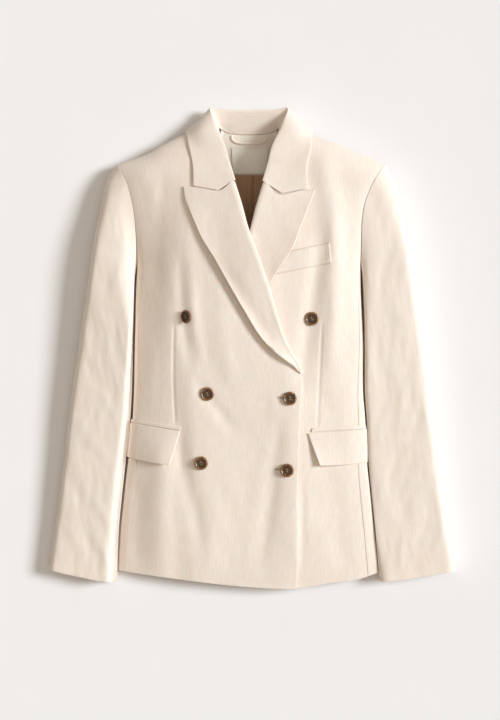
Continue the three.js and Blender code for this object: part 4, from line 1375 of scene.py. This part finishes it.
def tube(path: Array, radius: float, sides: int) -> tuple[Array, Array, Array]:
    """Round tube along a path, closed by domed ends.

    Args:
        path: Points along its middle, one a row.
        radius: Its radius.
        sides: Sides of its section.

    Returns:
        Vertices, four-cornered faces and each vertex's place round and along the thread.
    """
    tangent = np.gradient(path, axis=0)
    tangent /= np.linalg.norm(tangent, axis=1, keepdims=True)
    up = np.array([0.0, 0.0, 1.0])
    sideways = np.cross(tangent, up)
    sideways /= np.maximum(np.linalg.norm(sideways, axis=1, keepdims=True), 1e-9)
    lifted = np.cross(sideways, tangent)
    angle = np.arange(sides) * 2 * math.pi / sides
    ring = np.cos(angle)[None, :, None] * sideways[:, None] + np.sin(angle)[None, :, None] * lifted[:, None]
    caps = [(path[0] - tangent[0] * radius * 0.8, 0), (path[-1] + tangent[-1] * radius * 0.8, -1)]
    rings = path[:, None] + ring * radius
    first = caps[0][0] + ring[0] * radius * 0.45
    last = caps[1][0] + ring[-1] * radius * 0.45
    grid = np.concatenate([first[None], rings, last[None]])
    rows = len(grid)
    index = np.arange(rows * sides).reshape(rows, sides)
    turned = np.roll(index, -1, axis=1)
    quads = np.stack([index[:-1], turned[:-1], turned[1:], index[1:]], axis=-1).reshape(-1, 4)
    vertices = np.vstack([grid.reshape(-1, 3), caps[0][0], caps[1][0]])
    start, end = rows * sides, rows * sides + 1
    fans = [(turned[0, i], index[0, i], start, start) for i in range(sides)]
    fans += [(index[-1, i], turned[-1, i], end, end) for i in range(sides)]
    run = np.concatenate([[0.0], np.cumsum(np.linalg.norm(np.diff(path, axis=0), axis=1))])
    along = np.concatenate([[-radius], run, [run[-1] + radius]])
    places = np.column_stack([np.tile(angle * radius, rows), np.repeat(along, sides)])
    places = np.vstack([places, (0.0, along[0]), (0.0, along[-1])])
    return vertices, np.vstack([quads, np.array(fans)]), places


class Threads:
    """Many short lengths of thread joined into one mesh."""

    def __init__(self, name: str) -> None:
        """Starts an empty mesh of that name."""
        self.name = name
        self.vertices: list[Array] = []
        self.faces: list[Array] = []
        self.places: list[Array] = []
        self.count = 0

    def add(self, path: Array, radius: float, sides: int = 6) -> None:
        """Adds one length along a path."""
        vertices, faces, places = tube(np.asarray(path, float), radius, sides)
        self.vertices.append(vertices)
        self.faces.append(faces + self.count)
        self.places.append(places)
        self.count += len(vertices)

    def build(self) -> bpy.types.Object:
        """Joins them into an object."""
        return solid_object(self.name, np.vstack(self.vertices), np.vstack(self.faces), np.vstack(self.places))


@dataclass(frozen=True)
class ButtonPlace:
    """Where a button is sewn.

    Args:
        name: The CAD node that it stands for.
        x: Plan x of its middle.
        y: Plan y of its middle.
        side: The front that it is sewn to.
        lean: How far it tips towards the wearer's right.
        spin: How far its holes are turned.
    """

    name: str
    x: float
    y: float
    side: Side
    lean: float
    spin: float


BUTTONS = (
    ButtonPlace("button_top_right", -94.4, 45.6, Side.RIGHT, 0.3, 0.2),
    ButtonPlace("button_top_left", 86.4, 42.6, Side.LEFT, 0.0, 0.7),
    ButtonPlace("button_middle_right", -65.9, -66.9, Side.RIGHT, 0.0, 0.35),
    ButtonPlace("button_middle_left", 54.2, -73.6, Side.RIGHT, 0.0, 0.1),
    ButtonPlace("button_bottom_right", -75.0, -167.9, Side.RIGHT, 0.0, 0.5),
    ButtonPlace("button_bottom_left", 50.4, -178.4, Side.RIGHT, 0.0, -0.15),
)


class Buttons:
    """Four-hole buttons, each sewn on with two bars of thread."""

    RADIUS = 10.0
    THICKNESS = 3.6
    FOOT = 7.6
    WELL_DEPTH = 1.0
    HOLE = 1.1
    PITCH = 2.2
    STEPS = 72
    # Share of its foot's drop by which a leaning button is raised
    SEAT = 0.8
    # Half section from the middle of the back to the middle of the front: radius and height
    PROFILE = (
        (0.0, 0.0), (7.2, 0.0), (7.9, 0.1), (9.3, 0.9), (9.85, 1.5), (10.0, 2.1), (9.85, 2.7),
        (9.4, 3.25), (8.8, 3.55), (8.2, 3.6), (7.6, 3.45), (7.1, 3.0), (6.6, 2.68), (5.8, 2.6), (0.0, 2.6),
    )

    def __init__(self, skin: Skin) -> None:
        """Keeps the heights and makes the disc that all buttons share."""
        self.skin = skin
        self.mesh = self._disc()

    def _disc(self) -> bpy.types.Mesh:
        """One turned disc with its four holes cut through."""
        angle = np.arange(self.STEPS) * 2 * math.pi / self.STEPS
        vertices, faces = [(0.0, 0.0, self.PROFILE[0][1])], []
        rings = self.PROFILE[1:-1]
        for radius, height in rings:
            vertices += [(radius * math.cos(a), radius * math.sin(a), height) for a in angle]
        vertices.append((0.0, 0.0, self.PROFILE[-1][1]))
        n, top = self.STEPS, len(vertices) - 1
        for i in range(n):
            j = (i + 1) % n
            faces.append((0, 1 + j, 1 + i))
            for k in range(len(rings) - 1):
                a, b = 1 + k * n, 1 + (k + 1) * n
                faces.append((a + i, a + j, b + j, b + i))
            low = 1 + (len(rings) - 1) * n
            faces.append((low + i, low + j, top))
        mesh = bpy.data.meshes.new("disc")
        mesh.from_pydata((np.array(vertices) * MM).tolist(), [], faces)
        disc = bpy.data.objects.new("disc", mesh)
        bpy.context.scene.collection.objects.link(disc)
        drills = Threads("drills")
        for k in range(4):
            a = math.pi / 4 + k * math.pi / 2
            x, y = self.PITCH * math.cos(a), self.PITCH * math.sin(a)
            path = np.array([[x + 1e-4 * h, y, h] for h in np.linspace(-3.0, 8.0, 4)])
            drills.add(path, self.HOLE, 20)
        drill = drills.build()
        cut = disc.modifiers.new("holes", "BOOLEAN")
        cut.operation, cut.object, cut.solver = "DIFFERENCE", drill, "EXACT"
        graph = bpy.context.evaluated_depsgraph_get()
        done = bpy.data.meshes.new_from_object(disc.evaluated_get(graph))
        for made in (disc, drill):
            bpy.data.objects.remove(made)
        done.polygons.foreach_set("use_smooth", np.ones(len(done.polygons), bool))
        done.set_sharp_from_angle(angle=math.radians(50))
        places = np.array([done.vertices[loop.vertex_index].co[:2] for loop in done.loops]) / MM
        layer = done.uv_layers.get(CLOTH_MAP) or done.uv_layers.new(name=CLOTH_MAP)
        layer.uv.foreach_set("vector", places.astype(np.float32).ravel())
        return done

    def build(self, place: ButtonPlace) -> tuple[bpy.types.Object, bpy.types.Object]:
        """Places one button and sews it on.

        Args:
            place: Where it is sewn.

        Returns:
            The button and its thread.
        """
        x, y = np.array([place.x]), np.array([place.y])
        point, normal = (value[0] for value in self.skin.place_on_front(place.side, x, y))
        lift = SEAM + LAY + self.FOOT * math.sin(place.lean) * self.SEAT
        tipped = Matrix.Rotation(-place.lean, 3, "Y") @ Vector(normal)
        turn = Vector((0, 0, 1)).rotation_difference(tipped).to_matrix() @ Matrix.Rotation(place.spin, 3, "Z")
        matrix = Matrix.Translation(Vector(point + normal * lift) * MM) @ turn.to_4x4()
        button = bpy.data.objects.new(place.name, self.mesh.copy())
        bpy.context.scene.collection.objects.link(button)
        button.data.transform(matrix)
        thread = Threads(f"thread_{place.name}")
        reach = self.PITCH / math.sqrt(2)
        for bar in (-reach, reach):
            for strand in (-0.45, 0.0, 0.45):
                s = np.linspace(-1.0, 1.0, 15)
                arch = self.THICKNESS - self.WELL_DEPTH + 0.45 - 1.9 * np.abs(s) ** 5 + 0.12 * (1 - abs(strand))
                path = np.stack([s * (reach + 0.25), np.full(15, bar) + strand * (1 - 0.3 * s**2), arch], axis=-1)
                thread.add(path, 0.27)
        sewn = thread.build()
        sewn.data.transform(matrix)
        return button, sewn


@dataclass(frozen=True)
class Buttonhole:
    """A worked buttonhole beside a button.

    Args:
        name: Name of the piece.
        start: Plan point of its end away from the front edge.
        end: Plan point of its eye, under the button.
        side: The front that it is cut in.
    """

    name: str
    start: tuple[float, float]
    end: tuple[float, float]
    side: Side

    def build(self, skin: Skin) -> bpy.types.Object:
        """Purl stitches on both sides of the slit and round its end."""
        threads = Threads(self.name)
        a, b = np.array(self.start), np.array(self.end)
        along = (b - a) / np.linalg.norm(b - a)
        across = np.array([-along[1], along[0]])
        length, pitch, width = np.linalg.norm(b - a), 0.62, 1.35
        for k in range(int(length / pitch)):
            for sign in (-1.0, 1.0):
                foot = a + along * (k + 0.5) * pitch
                self._bar(threads, skin, foot + across * sign * 0.22, foot + across * sign * width)
        for angle in np.radians([-70, -45, -20, 5, 30, 55, 78]):
            ray = -along * math.cos(angle) + across * math.sin(angle)
            self._bar(threads, skin, a + ray * 0.25, a + ray * width)
        return threads.build()

    def _bar(self, threads: Threads, skin: Skin, start: Array, end: Array) -> None:
        """One stitch, arched a little off the cloth."""
        t = shares(5)
        plan = mix(start, end, t[:, None])
        point, normal = skin.place_on_front(self.side, plan[:, 0], plan[:, 1])
        threads.add(point + normal * (0.12 + 0.3 * np.sin(math.pi * t))[:, None], 0.28)


BUTTONHOLES = (
    Buttonhole("buttonhole_middle", (37.5, -72.1), (52, -73.4), Side.RIGHT),
    Buttonhole("buttonhole_bottom", (33.8, -176.9), (48.6, -178.2), Side.RIGHT),
)


class StitchLine:
    """A row of small stitches along a line on a front or a piece that lies on it."""

    LENGTH = 2.6
    GAP = 1.0
    RADIUS = 0.17

    def __init__(self, name: str, lines: Sequence[Array]) -> None:
        """Keeps the lines.

        Args:
            name: Name of the piece.
            lines: Each line's points on the cloth's face, one a row.
        """
        self.name = name
        self.lines = lines

    def build(self) -> bpy.types.Object:
        """All the stitches as one mesh."""
        threads = Threads(self.name)
        for line in self.lines:
            curve = Curve(line)
            length = curve.run[-1]
            step = self.LENGTH + self.GAP
            for k in range(int(length / step)):
                s = (k * step + self.LENGTH * shares(4)) / length
                path = curve.along(s)
                path[:, 2] += 0.05 + 0.12 * np.sin(math.pi * shares(4))
                threads.add(path, self.RADIUS, 5)
        return threads.build()


def colour(code: str) -> tuple[float, float, float, float]:
    """Linear colour of an sRGB hex code such as #E9E1D3."""
    parts = [int(code[i : i + 2], 16) / 255 for i in (1, 3, 5)]
    red, green, blue = (p / 12.92 if p <= 0.04045 else ((p + 0.055) / 1.055) ** 2.4 for p in parts)
    return red, green, blue, 1.0


def add(tree: bpy.types.NodeTree, kind: str, inputs: dict | None = None, **settings: object) -> bpy.types.Node:
    """Adds a node with its settings and links.

    Args:
        tree: The material's or world's nodes.
        kind: Node type.
        inputs: Values, or sockets to link, for its inputs by name or number.
        **settings: Values of the node's own properties.

    Returns:
        The node.
    """
    node = tree.nodes.new(kind)
    for key, value in settings.items():
        setattr(node, key, value)
    for key, value in (inputs or {}).items():
        if isinstance(value, bpy.types.NodeSocket):
            tree.links.new(value, node.inputs[key])
        else:
            node.inputs[key].default_value = value
    return node


def new_material(name: str) -> tuple[bpy.types.Material, bpy.types.NodeTree]:
    """An empty material that uses nodes."""
    material = bpy.data.materials.new(name)
    material.use_nodes = True
    material.node_tree.nodes.clear()
    return material, material.node_tree


@dataclass(frozen=True)
class WovenCloth:
    """Woven cloth: rounded threads in a fine twill, with thicker slubs here and there.

    The real threads lie about 0.4 mm apart, too fine to show in a picture of the whole
    garment, so the twill is drawn at `thread` and the slubs are what shows from afar.

    Args:
        name: Name of the material.
        light: Colour of the raised threads, painted lighter than the hollows as if lit.
        dark: Colour between them and in the slubs' shade, painted there as shade; it also carries the tone that wanders
            at random.
        thread: Drawn distance of the twill's lines.
        slub: Width and length of the slubs.
        streak: Width and length of the finer streaks.
        tone: How far the tone wanders over a hand's width, 0 to 1.
        relief: Depth of the weave.
        roughness: Roughness of the fibres.
        sheen: Fuzz at grazing angles.
        specular: Gloss of the fibres.
        glow: Share of the light that passes through the fibres.
        reach: How far that light travels.
    """

    name: str
    light: str
    dark: str
    thread: float
    slub: tuple[float, float]
    streak: tuple[float, float]
    tone: float
    relief: float
    roughness: float
    sheen: float
    specular: float
    glow: float = 0.0
    reach: float = 1.0

    def build(self) -> bpy.types.Material:
        """Makes the material."""
        material, tree = new_material(self.name)
        place = add(tree, "ShaderNodeUVMap", uv_map=CLOTH_MAP).outputs["UV"]

        def noise(width: float, length: float, detail: float, distort: float = 0.0) -> bpy.types.NodeSocket:
            """Cloudy spots of that width and length, in millimetres."""
            size = (1 / width, 1 / length, 1.0)
            scaled = add(tree, "ShaderNodeVectorMath", {0: place, 1: size}, operation="MULTIPLY")
            spots = {"Vector": scaled.outputs[0], "Scale": 1.0, "Detail": detail, "Distortion": distort}
            return add(tree, "ShaderNodeTexNoise", spots, noise_dimensions="2D").outputs["Fac"]

        slub = noise(*self.slub, detail=2.0, distort=0.2)
        streak = noise(*self.streak, detail=1.0)
        tone = noise(70.0, 95.0, detail=2.0)
        twill = add(
            tree,
            "ShaderNodeTexWave",
            {"Vector": place, "Scale": 2 * math.pi / (10 * self.thread), "Distortion": 0.6, "Detail": 1.0},
            bands_direction="DIAGONAL",
        ).outputs["Fac"]
        # Painted shade: the twill lines and slubs that raise the bump also darken the colour between them; only the
        # tone noise is random colour.
        sharp = add(tree, "ShaderNodeMapRange", {"Value": slub, "From Min": 0.36, "From Max": 0.66}).outputs[0]
        fine = add(tree, "ShaderNodeMath", {0: streak, 1: 0.45, 2: sharp}, operation="MULTIPLY_ADD").outputs[0]
        lines = add(tree, "ShaderNodeMath", {0: twill, 1: 0.35, 2: fine}, operation="MULTIPLY_ADD").outputs[0]
        tone_and_painted_shade = add(tree, "ShaderNodeMath", {0: tone, 1: self.tone * 6, 2: lines}, operation="MULTIPLY_ADD").outputs[0]
        share = add(
            tree, "ShaderNodeMapRange", {"Value": tone_and_painted_shade, "From Min": 0.1, "From Max": 1.7 + self.tone * 6}
        ).outputs[0]
        # Inputs 6 and 7 and output 2 are the node's colours
        threads = {"Factor": share, 6: colour(self.dark), 7: colour(self.light)}
        shade = add(tree, "ShaderNodeMix", threads, data_type="RGBA")
        bump = add(
            tree, "ShaderNodeBump", {"Height": lines, "Strength": 0.5, "Distance": self.relief * MM}
        ).outputs[0]
        fibres = add(
            tree,
            "ShaderNodeBsdfPrincipled",
            {
                "Base Color": shade.outputs[2],
                "Roughness": self.roughness,
                "Specular IOR Level": self.specular,
                "Subsurface Weight": self.glow,
                "Subsurface Radius": (1.0, 0.55, 0.3),
                "Subsurface Scale": self.reach * MM,
                "Sheen Weight": self.sheen,
                "Sheen Roughness": 0.5,
                "Sheen Tint": colour(self.light),
                "Normal": bump,
            },
        )
        add(tree, "ShaderNodeOutputMaterial", {"Surface": fibres.outputs[0]})
        return material


# Pressed twill: nearly matte cream, broken up by slubs, with light passing a little way into the fibres
SUITING = WovenCloth(
    name="cream_twill_suiting",
    light="#FAEEE5",
    dark="#EDDED2",
    thread=1.3,
    slub=(1.5, 18.0),
    streak=(0.8, 7.0),
    tone=0.12,
    relief=0.05,
    roughness=0.88,
    sheen=0.12,
    specular=0.2,
    glow=0.3,
    reach=3.5,
)
# Lining twill: smoother than the suiting, so that it gleams softly along its long streaks
LINING_TWILL = WovenCloth(
    name="tan_lining_twill",
    light="#B58F6E",
    dark="#9A7556",
    thread=0.9,
    slub=(1.2, 60.0),
    streak=(0.7, 20.0),
    tone=0.2,
    relief=0.08,
    roughness=0.45,
    sheen=0.1,
    specular=0.5,
)
# Satin-woven tape: an even off-white with a faint gloss, painted lighter than its own colour as painted light, since
# shadow falls on it inside the neck
LABEL_TAPE = WovenCloth(
    name="offwhite_label_satin",
    light="#F6F5F0",
    dark="#E8E5DC",
    thread=0.7,
    slub=(0.9, 12.0),
    streak=(0.6, 4.0),
    tone=0.05,
    relief=0.08,
    roughness=0.5,
    sheen=0.1,
    specular=0.45,
)
# Sewing thread: a little darker and shinier than the cloth that it holds
CREAM_THREAD = WovenCloth(
    name="cream_polyester_thread",
    light="#E9DFCE",
    dark="#C9BBA6",
    thread=0.4,
    slub=(0.3, 1.2),
    streak=(0.2, 0.6),
    tone=0.05,
    relief=0.05,
    roughness=0.6,
    sheen=0.15,
    specular=0.4,
)
# The same thread in tan, as used for the buttons and the welt's seams, whose tan lines are partly painted shade
TAN_THREAD = WovenCloth(
    name="tan_polyester_thread",
    light="#C9A47E",
    dark="#8E6C4C",
    thread=0.4,
    slub=(0.3, 1.2),
    streak=(0.2, 0.6),
    tone=0.05,
    relief=0.05,
    roughness=0.6,
    sheen=0.1,
    specular=0.4,
)


@dataclass(frozen=True)
class HornButton:
    """Polished horn look: brown with cloudy light and dark streaks under a soft gloss.

    Args:
        name: Name of the material.
        dark: Colour of the dark clouds, and of the wells, where it is painted shade.
        middle: Colour between.
        light: Colour of the light clouds, most of them on the rim, which is painted lighter as if lit.
        streak: Size of the clouds.
        roughness: Roughness of the turned face.
        ior: Refraction of horn.
        coat: Share of the polish on it.
        polish: Roughness of that polish.
    """

    name: str = "mottled_horn"
    dark: str = "#2E1A0D"
    middle: str = "#6A4422"
    light: str = "#BE8F58"
    streak: float = 2.6
    roughness: float = 0.32
    ior: float = 1.54
    coat: float = 0.25
    polish: float = 0.15

    def build(self) -> bpy.types.Material:
        """Makes the material."""
        material, tree = new_material(self.name)
        place = add(tree, "ShaderNodeTexCoord").outputs["Object"]
        cloud = add(
            tree,
            "ShaderNodeTexNoise",
            {"Vector": place, "Scale": 1 / (self.streak * MM), "Detail": 4.0, "Roughness": 0.6, "Distortion": 1.4},
        ).outputs["Fac"]
        disc = add(tree, "ShaderNodeUVMap", uv_map=CLOTH_MAP).outputs["UV"]
        radius = add(tree, "ShaderNodeVectorMath", {0: disc}, operation="LENGTH").outputs["Value"]
        # Painted shade and light: the well is painted darker and the rim lighter; the rim's inner edge lies between
        # these radii
        rim = {"Value": radius, "From Min": 6.2, "From Max": 7.8, "To Min": -0.13, "To Max": 0.1}
        ring = add(tree, "ShaderNodeMapRange", rim).outputs[0]
        shade = add(tree, "ShaderNodeMath", {0: cloud, 1: ring}, operation="ADD").outputs[0]
        ramp = add(tree, "ShaderNodeValToRGB", {"Fac": shade})
        steps = ramp.color_ramp.elements
        steps[0].position, steps[0].color = 0.36, colour(self.dark)
        steps[1].position, steps[1].color = 0.74, colour(self.light)
        middle = steps.new(0.54)
        middle.color = colour(self.middle)
        bump = add(tree, "ShaderNodeBump", {"Height": cloud, "Strength": 0.15, "Distance": 0.1 * MM}).outputs[0]
        horn = add(
            tree,
            "ShaderNodeBsdfPrincipled",
            {
                "Base Color": ramp.outputs[0],
                "Roughness": self.roughness,
                "IOR": self.ior,
                "Coat Weight": self.coat,
                "Coat Roughness": self.polish,
                "Normal": bump,
            },
        )
        add(tree, "ShaderNodeOutputMaterial", {"Surface": horn.outputs[0]})
        return material


@dataclass(frozen=True)
class PaperSweep:
    """Matte white paper that the garment is photographed on.

    Args:
        name: Name of the material.
        base: Its colour.
        shade: Colour of its faint flecks.
        roughness: High, so that it shows no highlight of the lamps.
        specular: Its gloss.
    """

    name: str = "white_paper"
    base: str = "#F4F4F6"
    shade: str = "#F1F1F3"
    roughness: float = 0.95
    specular: float = 0.1

    def build(self) -> bpy.types.Material:
        """Makes the material."""
        material, tree = new_material(self.name)
        place = add(tree, "ShaderNodeTexCoord").outputs["Object"]
        fleck = add(tree, "ShaderNodeTexNoise", {"Vector": place, "Scale": 9.0, "Detail": 3.0}).outputs["Fac"]
        flecks = {"Factor": fleck, 6: colour(self.base), 7: colour(self.shade)}
        shade = add(tree, "ShaderNodeMix", flecks, data_type="RGBA")
        surface = {"Base Color": shade.outputs[2], "Roughness": self.roughness, "Specular IOR Level": self.specular}
        paper = add(tree, "ShaderNodeBsdfPrincipled", surface)
        add(tree, "ShaderNodeOutputMaterial", {"Surface": paper.outputs[0]})
        return material


@dataclass(frozen=True)
class Cut:
    """Flat size of a piece before it was sewn and laid.

    Args:
        width: Width in metres; not used.
        length: Length in metres; not used.
        area: Flat area in square metres; not used.
        rests_on: Pieces that it lies on.
        held: How it is held; not used.
    """

    width: float
    length: float
    area: float
    rests_on: tuple[str, ...]
    held: str = "laid"


CUTS = {
    "front_right": Cut(0.30, 0.70, 0.145, ("back_right", "front_left")),
    "front_left": Cut(0.30, 0.70, 0.145, ("back_left",)),
    "back_right": Cut(0.20, 0.67, 0.095, ("floor",)),
    "back_left": Cut(0.20, 0.67, 0.095, ("floor",)),
    "side_right": Cut(0.09, 0.46, 0.035, ("floor",)),
    "side_left": Cut(0.09, 0.46, 0.035, ("floor",)),
    "topsleeve_right": Cut(0.17, 0.62, 0.071, ("undersleeve_right",)),
    "topsleeve_left": Cut(0.17, 0.62, 0.071, ("undersleeve_left",)),
    "undersleeve_right": Cut(0.12, 0.50, 0.048, ("floor",)),
    "undersleeve_left": Cut(0.12, 0.50, 0.048, ("floor",)),
    "lapel_right": Cut(0.10, 0.30, 0.018, ("front_right",), "folded"),
    "lapel_left": Cut(0.10, 0.20, 0.011, ("front_left",), "folded"),
    "collar": Cut(0.08, 0.42, 0.028, ("front_right", "front_left"), "folded"),
    "pocket_jet_right": Cut(0.08, 0.010, 0.0006, ("front_right",)),
    "pocket_jet_left": Cut(0.08, 0.010, 0.0006, ("front_left",)),
    "pocket_flap_right": Cut(0.085, 0.055, 0.0045, ("front_right",)),
    "pocket_flap_left": Cut(0.085, 0.055, 0.0045, ("front_left",)),
    "breast_welt": Cut(0.085, 0.032, 0.0022, ("front_left",)),
    "back_neck_facing": Cut(0.12, 0.060, 0.0060, ("back_right", "back_left")),
    "back_lining": Cut(0.13, 0.14, 0.018, ("back_right", "back_left")),
    "neck_label": Cut(0.055, 0.039, 0.0021, ("back_neck_facing",)),
    "hanger_loop": Cut(0.01, 0.062, 0.0003, ("back_neck_facing",)),
}


@dataclass(frozen=True)
class Lamp:
    """A soft light that shines from one direction.

    Args:
        name: Its name.
        towards: Direction from the garment to it.
        power: Its strength.
        angle: How wide it looks, in degrees.
        tint: Its colour.
    """

    name: str
    towards: tuple[float, float, float]
    power: float
    angle: float
    tint: tuple[float, float, float]

    def build(self) -> None:
        """Adds the light."""
        sun = bpy.data.lights.new(self.name, "SUN")
        sun.energy, sun.angle, sun.color = self.power, math.radians(self.angle), self.tint
        lamp = bpy.data.objects.new(self.name, sun)
        lamp.rotation_euler = Vector(self.towards).to_track_quat("Z", "Y").to_euler()
        bpy.context.scene.collection.objects.link(lamp)


class Studio:
    """Paper sweep, soft light from the upper right and a camera straight above."""

    LENS = 85.0
    SENSOR = 36.0
    CAMERA = (-3.7, -17.6, 2530.0)
    CLIP = (0.05, 20.0)
    FLOOR_HALF = 12000.0
    FLOOR_LEVEL = -0.2
    LAMPS = (
        Lamp("window", (1.5, 0.3, 1.0), 3.24, 19.0, (0.93, 0.97, 1.0)),
        Lamp("ceiling", (0.0, -0.1, 1.0), 0.72, 80.0, (1.0, 0.9, 0.78)),
    )
    SKY_TINT = (1.0, 0.87, 0.71, 1.0)
    SKY_POWER = 0.235

    def build(self) -> None:
        """Makes the floor, lights, world and camera."""
        self._floor()
        self._light()
        self._camera()

    def _floor(self) -> None:
        """The paper, just under the garment."""
        half, z = self.FLOOR_HALF, self.FLOOR_LEVEL
        corners = np.array([(-half, -half, z), (half, -half, z), (half, half, z), (-half, half, z)])
        floor = solid_object("floor", corners, np.array([[0, 1, 2, 3]]))
        floor.data.materials.append(PaperSweep().build())

    def _light(self) -> None:
        """The lamps and the warm light that comes from all round."""
        for lamp in self.LAMPS:
            lamp.build()
        world = bpy.data.worlds.new("studio")
        world.use_nodes = True
        world.node_tree.nodes.clear()
        sky = add(world.node_tree, "ShaderNodeBackground", {"Color": self.SKY_TINT, "Strength": self.SKY_POWER})
        add(world.node_tree, "ShaderNodeOutputWorld", {"Surface": sky.outputs[0]})
        scene = bpy.context.scene
        scene.world = world
        scene.view_settings.view_transform = "Standard"

    def _camera(self) -> None:
        """The camera, straight above."""
        data = bpy.data.cameras.new("camera")
        data.lens, data.sensor_width = self.LENS, self.SENSOR
        data.clip_start, data.clip_end = self.CLIP
        camera = bpy.data.objects.new("camera", data)
        camera.location = Vector(self.CAMERA) * MM
        bpy.context.scene.collection.objects.link(camera)
        bpy.context.scene.camera = camera


def dress(piece: bpy.types.Object, material: bpy.types.Material, slot: str | None, node: str | None) -> None:
    """Gives a piece its material, hangs it on the body and hides the CAD node that it stands for.

    Args:
        piece: The piece.
        material: Its material.
        slot: Not used.
        node: The CAD node that it stands for, if it does.
    """
    piece.data.materials.clear()
    piece.data.materials.append(material)
    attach(piece, BODY_NAME)
    if node:
        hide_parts(node)


def welt_stitches(skin: Skin) -> StitchLine:
    """Two short rows of stitches that hold the outer end of the breast welt."""
    lines = []
    for inset in (1.6, 4.6):
        ends = np.array([(112 - inset, 150.4), (114.8 - inset, 126.2)])
        plan = mix(ends[0], ends[1], shares(8)[:, None])
        point, normal = skin.place_on_front(Side.LEFT, plan[:, 0], plan[:, 1])
        lines.append(point + normal * 2.3)
    return StitchLine("stitches_breast_welt", lines)


def welt_seams_and_painted_shade(skin: Skin) -> StitchLine:
    """Tan stitches along the mouth and the lower seam of the breast welt: on the mouth they are painted shade of the
    pocket's opening, on the lower seam real stitching whose tan colour is painted shade.
    """
    lines = []
    for start, end in (((49, 139.8), (112, 153.4)), ((33.5, 107.2), (114.8, 123.3))):
        plan = mix(np.array(start), np.array(end), shares(24)[:, None])
        point, normal = skin.place_on_front(Side.LEFT, plan[:, 0], plan[:, 1])
        lines.append(point + normal * 0.1)
    return StitchLine("seams_and_painted_shade_breast_welt", lines)


def label_stitches(skin: Skin) -> StitchLine:
    """Stitches round the neck label."""
    corners = np.array([(-30.1, 295.8), (22.3, 295.8), (19.6, 259.8), (-28.9, 259.8), (-30.1, 295.8)])
    lines = []
    for start, end in zip(corners[:-1], corners[1:]):
        plan = mix(start, end, shares(12)[:, None])
        height = skin.under(plan[:, 0], plan[:, 1]) + CLOTH + 0.5 + 2 * LINING + 0.4
        lines.append(np.column_stack([plan, height]))
    return StitchLine("stitches_neck_label", lines)


def main() -> None:
    """Builds every piece in order, then the studio."""
    logging.basicConfig(level=logging.INFO, format="%(message)s")
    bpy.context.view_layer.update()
    skin = Skin()
    cloths = {cloth.name: cloth.build() for cloth in (SUITING, LINING_TWILL, LABEL_TAPE, CREAM_THREAD, TAN_THREAD)}
    suiting = cloths[SUITING.name]
    sheets = Body(skin).sheets()
    for side in Side:
        sheets += Sleeve(skin, side).sheets()
        sheets.append(Lapel(skin, side).sheet())
    sheets.append(Collar(skin).sheet())
    sheets += [patch.sheet(skin) for patch in PATCHES]
    sheets += [piece.sheet(skin) for piece in INSIDE]
    sheets += [NeckFacing().sheet(skin), HangerLoop().sheet()]
    finishes = {"back_lining": (cloths[LINING_TWILL.name], "lining"), "neck_label": (cloths[LABEL_TAPE.name], "label")}
    for sheet in sheets:
        piece = sheet.build()
        piece.name = f"cloth_{sheet.name}"
        material, slot = finishes.get(sheet.name, (suiting, "suiting"))
        dress(piece, material, slot, sheet.name)
        LOG.info("%s: %d faces", piece.name, len(piece.data.polygons))
    for name, cut in CUTS.items():
        list(cut.rests_on)
    buttons = Buttons(skin)
    horn = HornButton().build()
    for place in BUTTONS:
        button, thread = buttons.build(place)
        button.name = f"horn_{place.name}"
        dress(button, horn, "button", place.name)
        dress(thread, cloths[TAN_THREAD.name], None, None)
        LOG.info("%s and its thread", button.name)
    sewn = [(hole.build(skin), CREAM_THREAD) for hole in BUTTONHOLES]
    sewn += [(stitches.build(), CREAM_THREAD) for stitches in (welt_stitches(skin), label_stitches(skin))]
    # The welt's tan stitch lines are partly painted shade along its mouth and lower seam.
    sewn.append((welt_seams_and_painted_shade(skin).build(), TAN_THREAD))
    for piece, thread_kind in sewn:
        dress(piece, cloths[thread_kind.name], None, None)
        LOG.info("%s: %d faces", piece.name, len(piece.data.polygons))
    Studio().build()


if __name__ == "__main__":
    main()
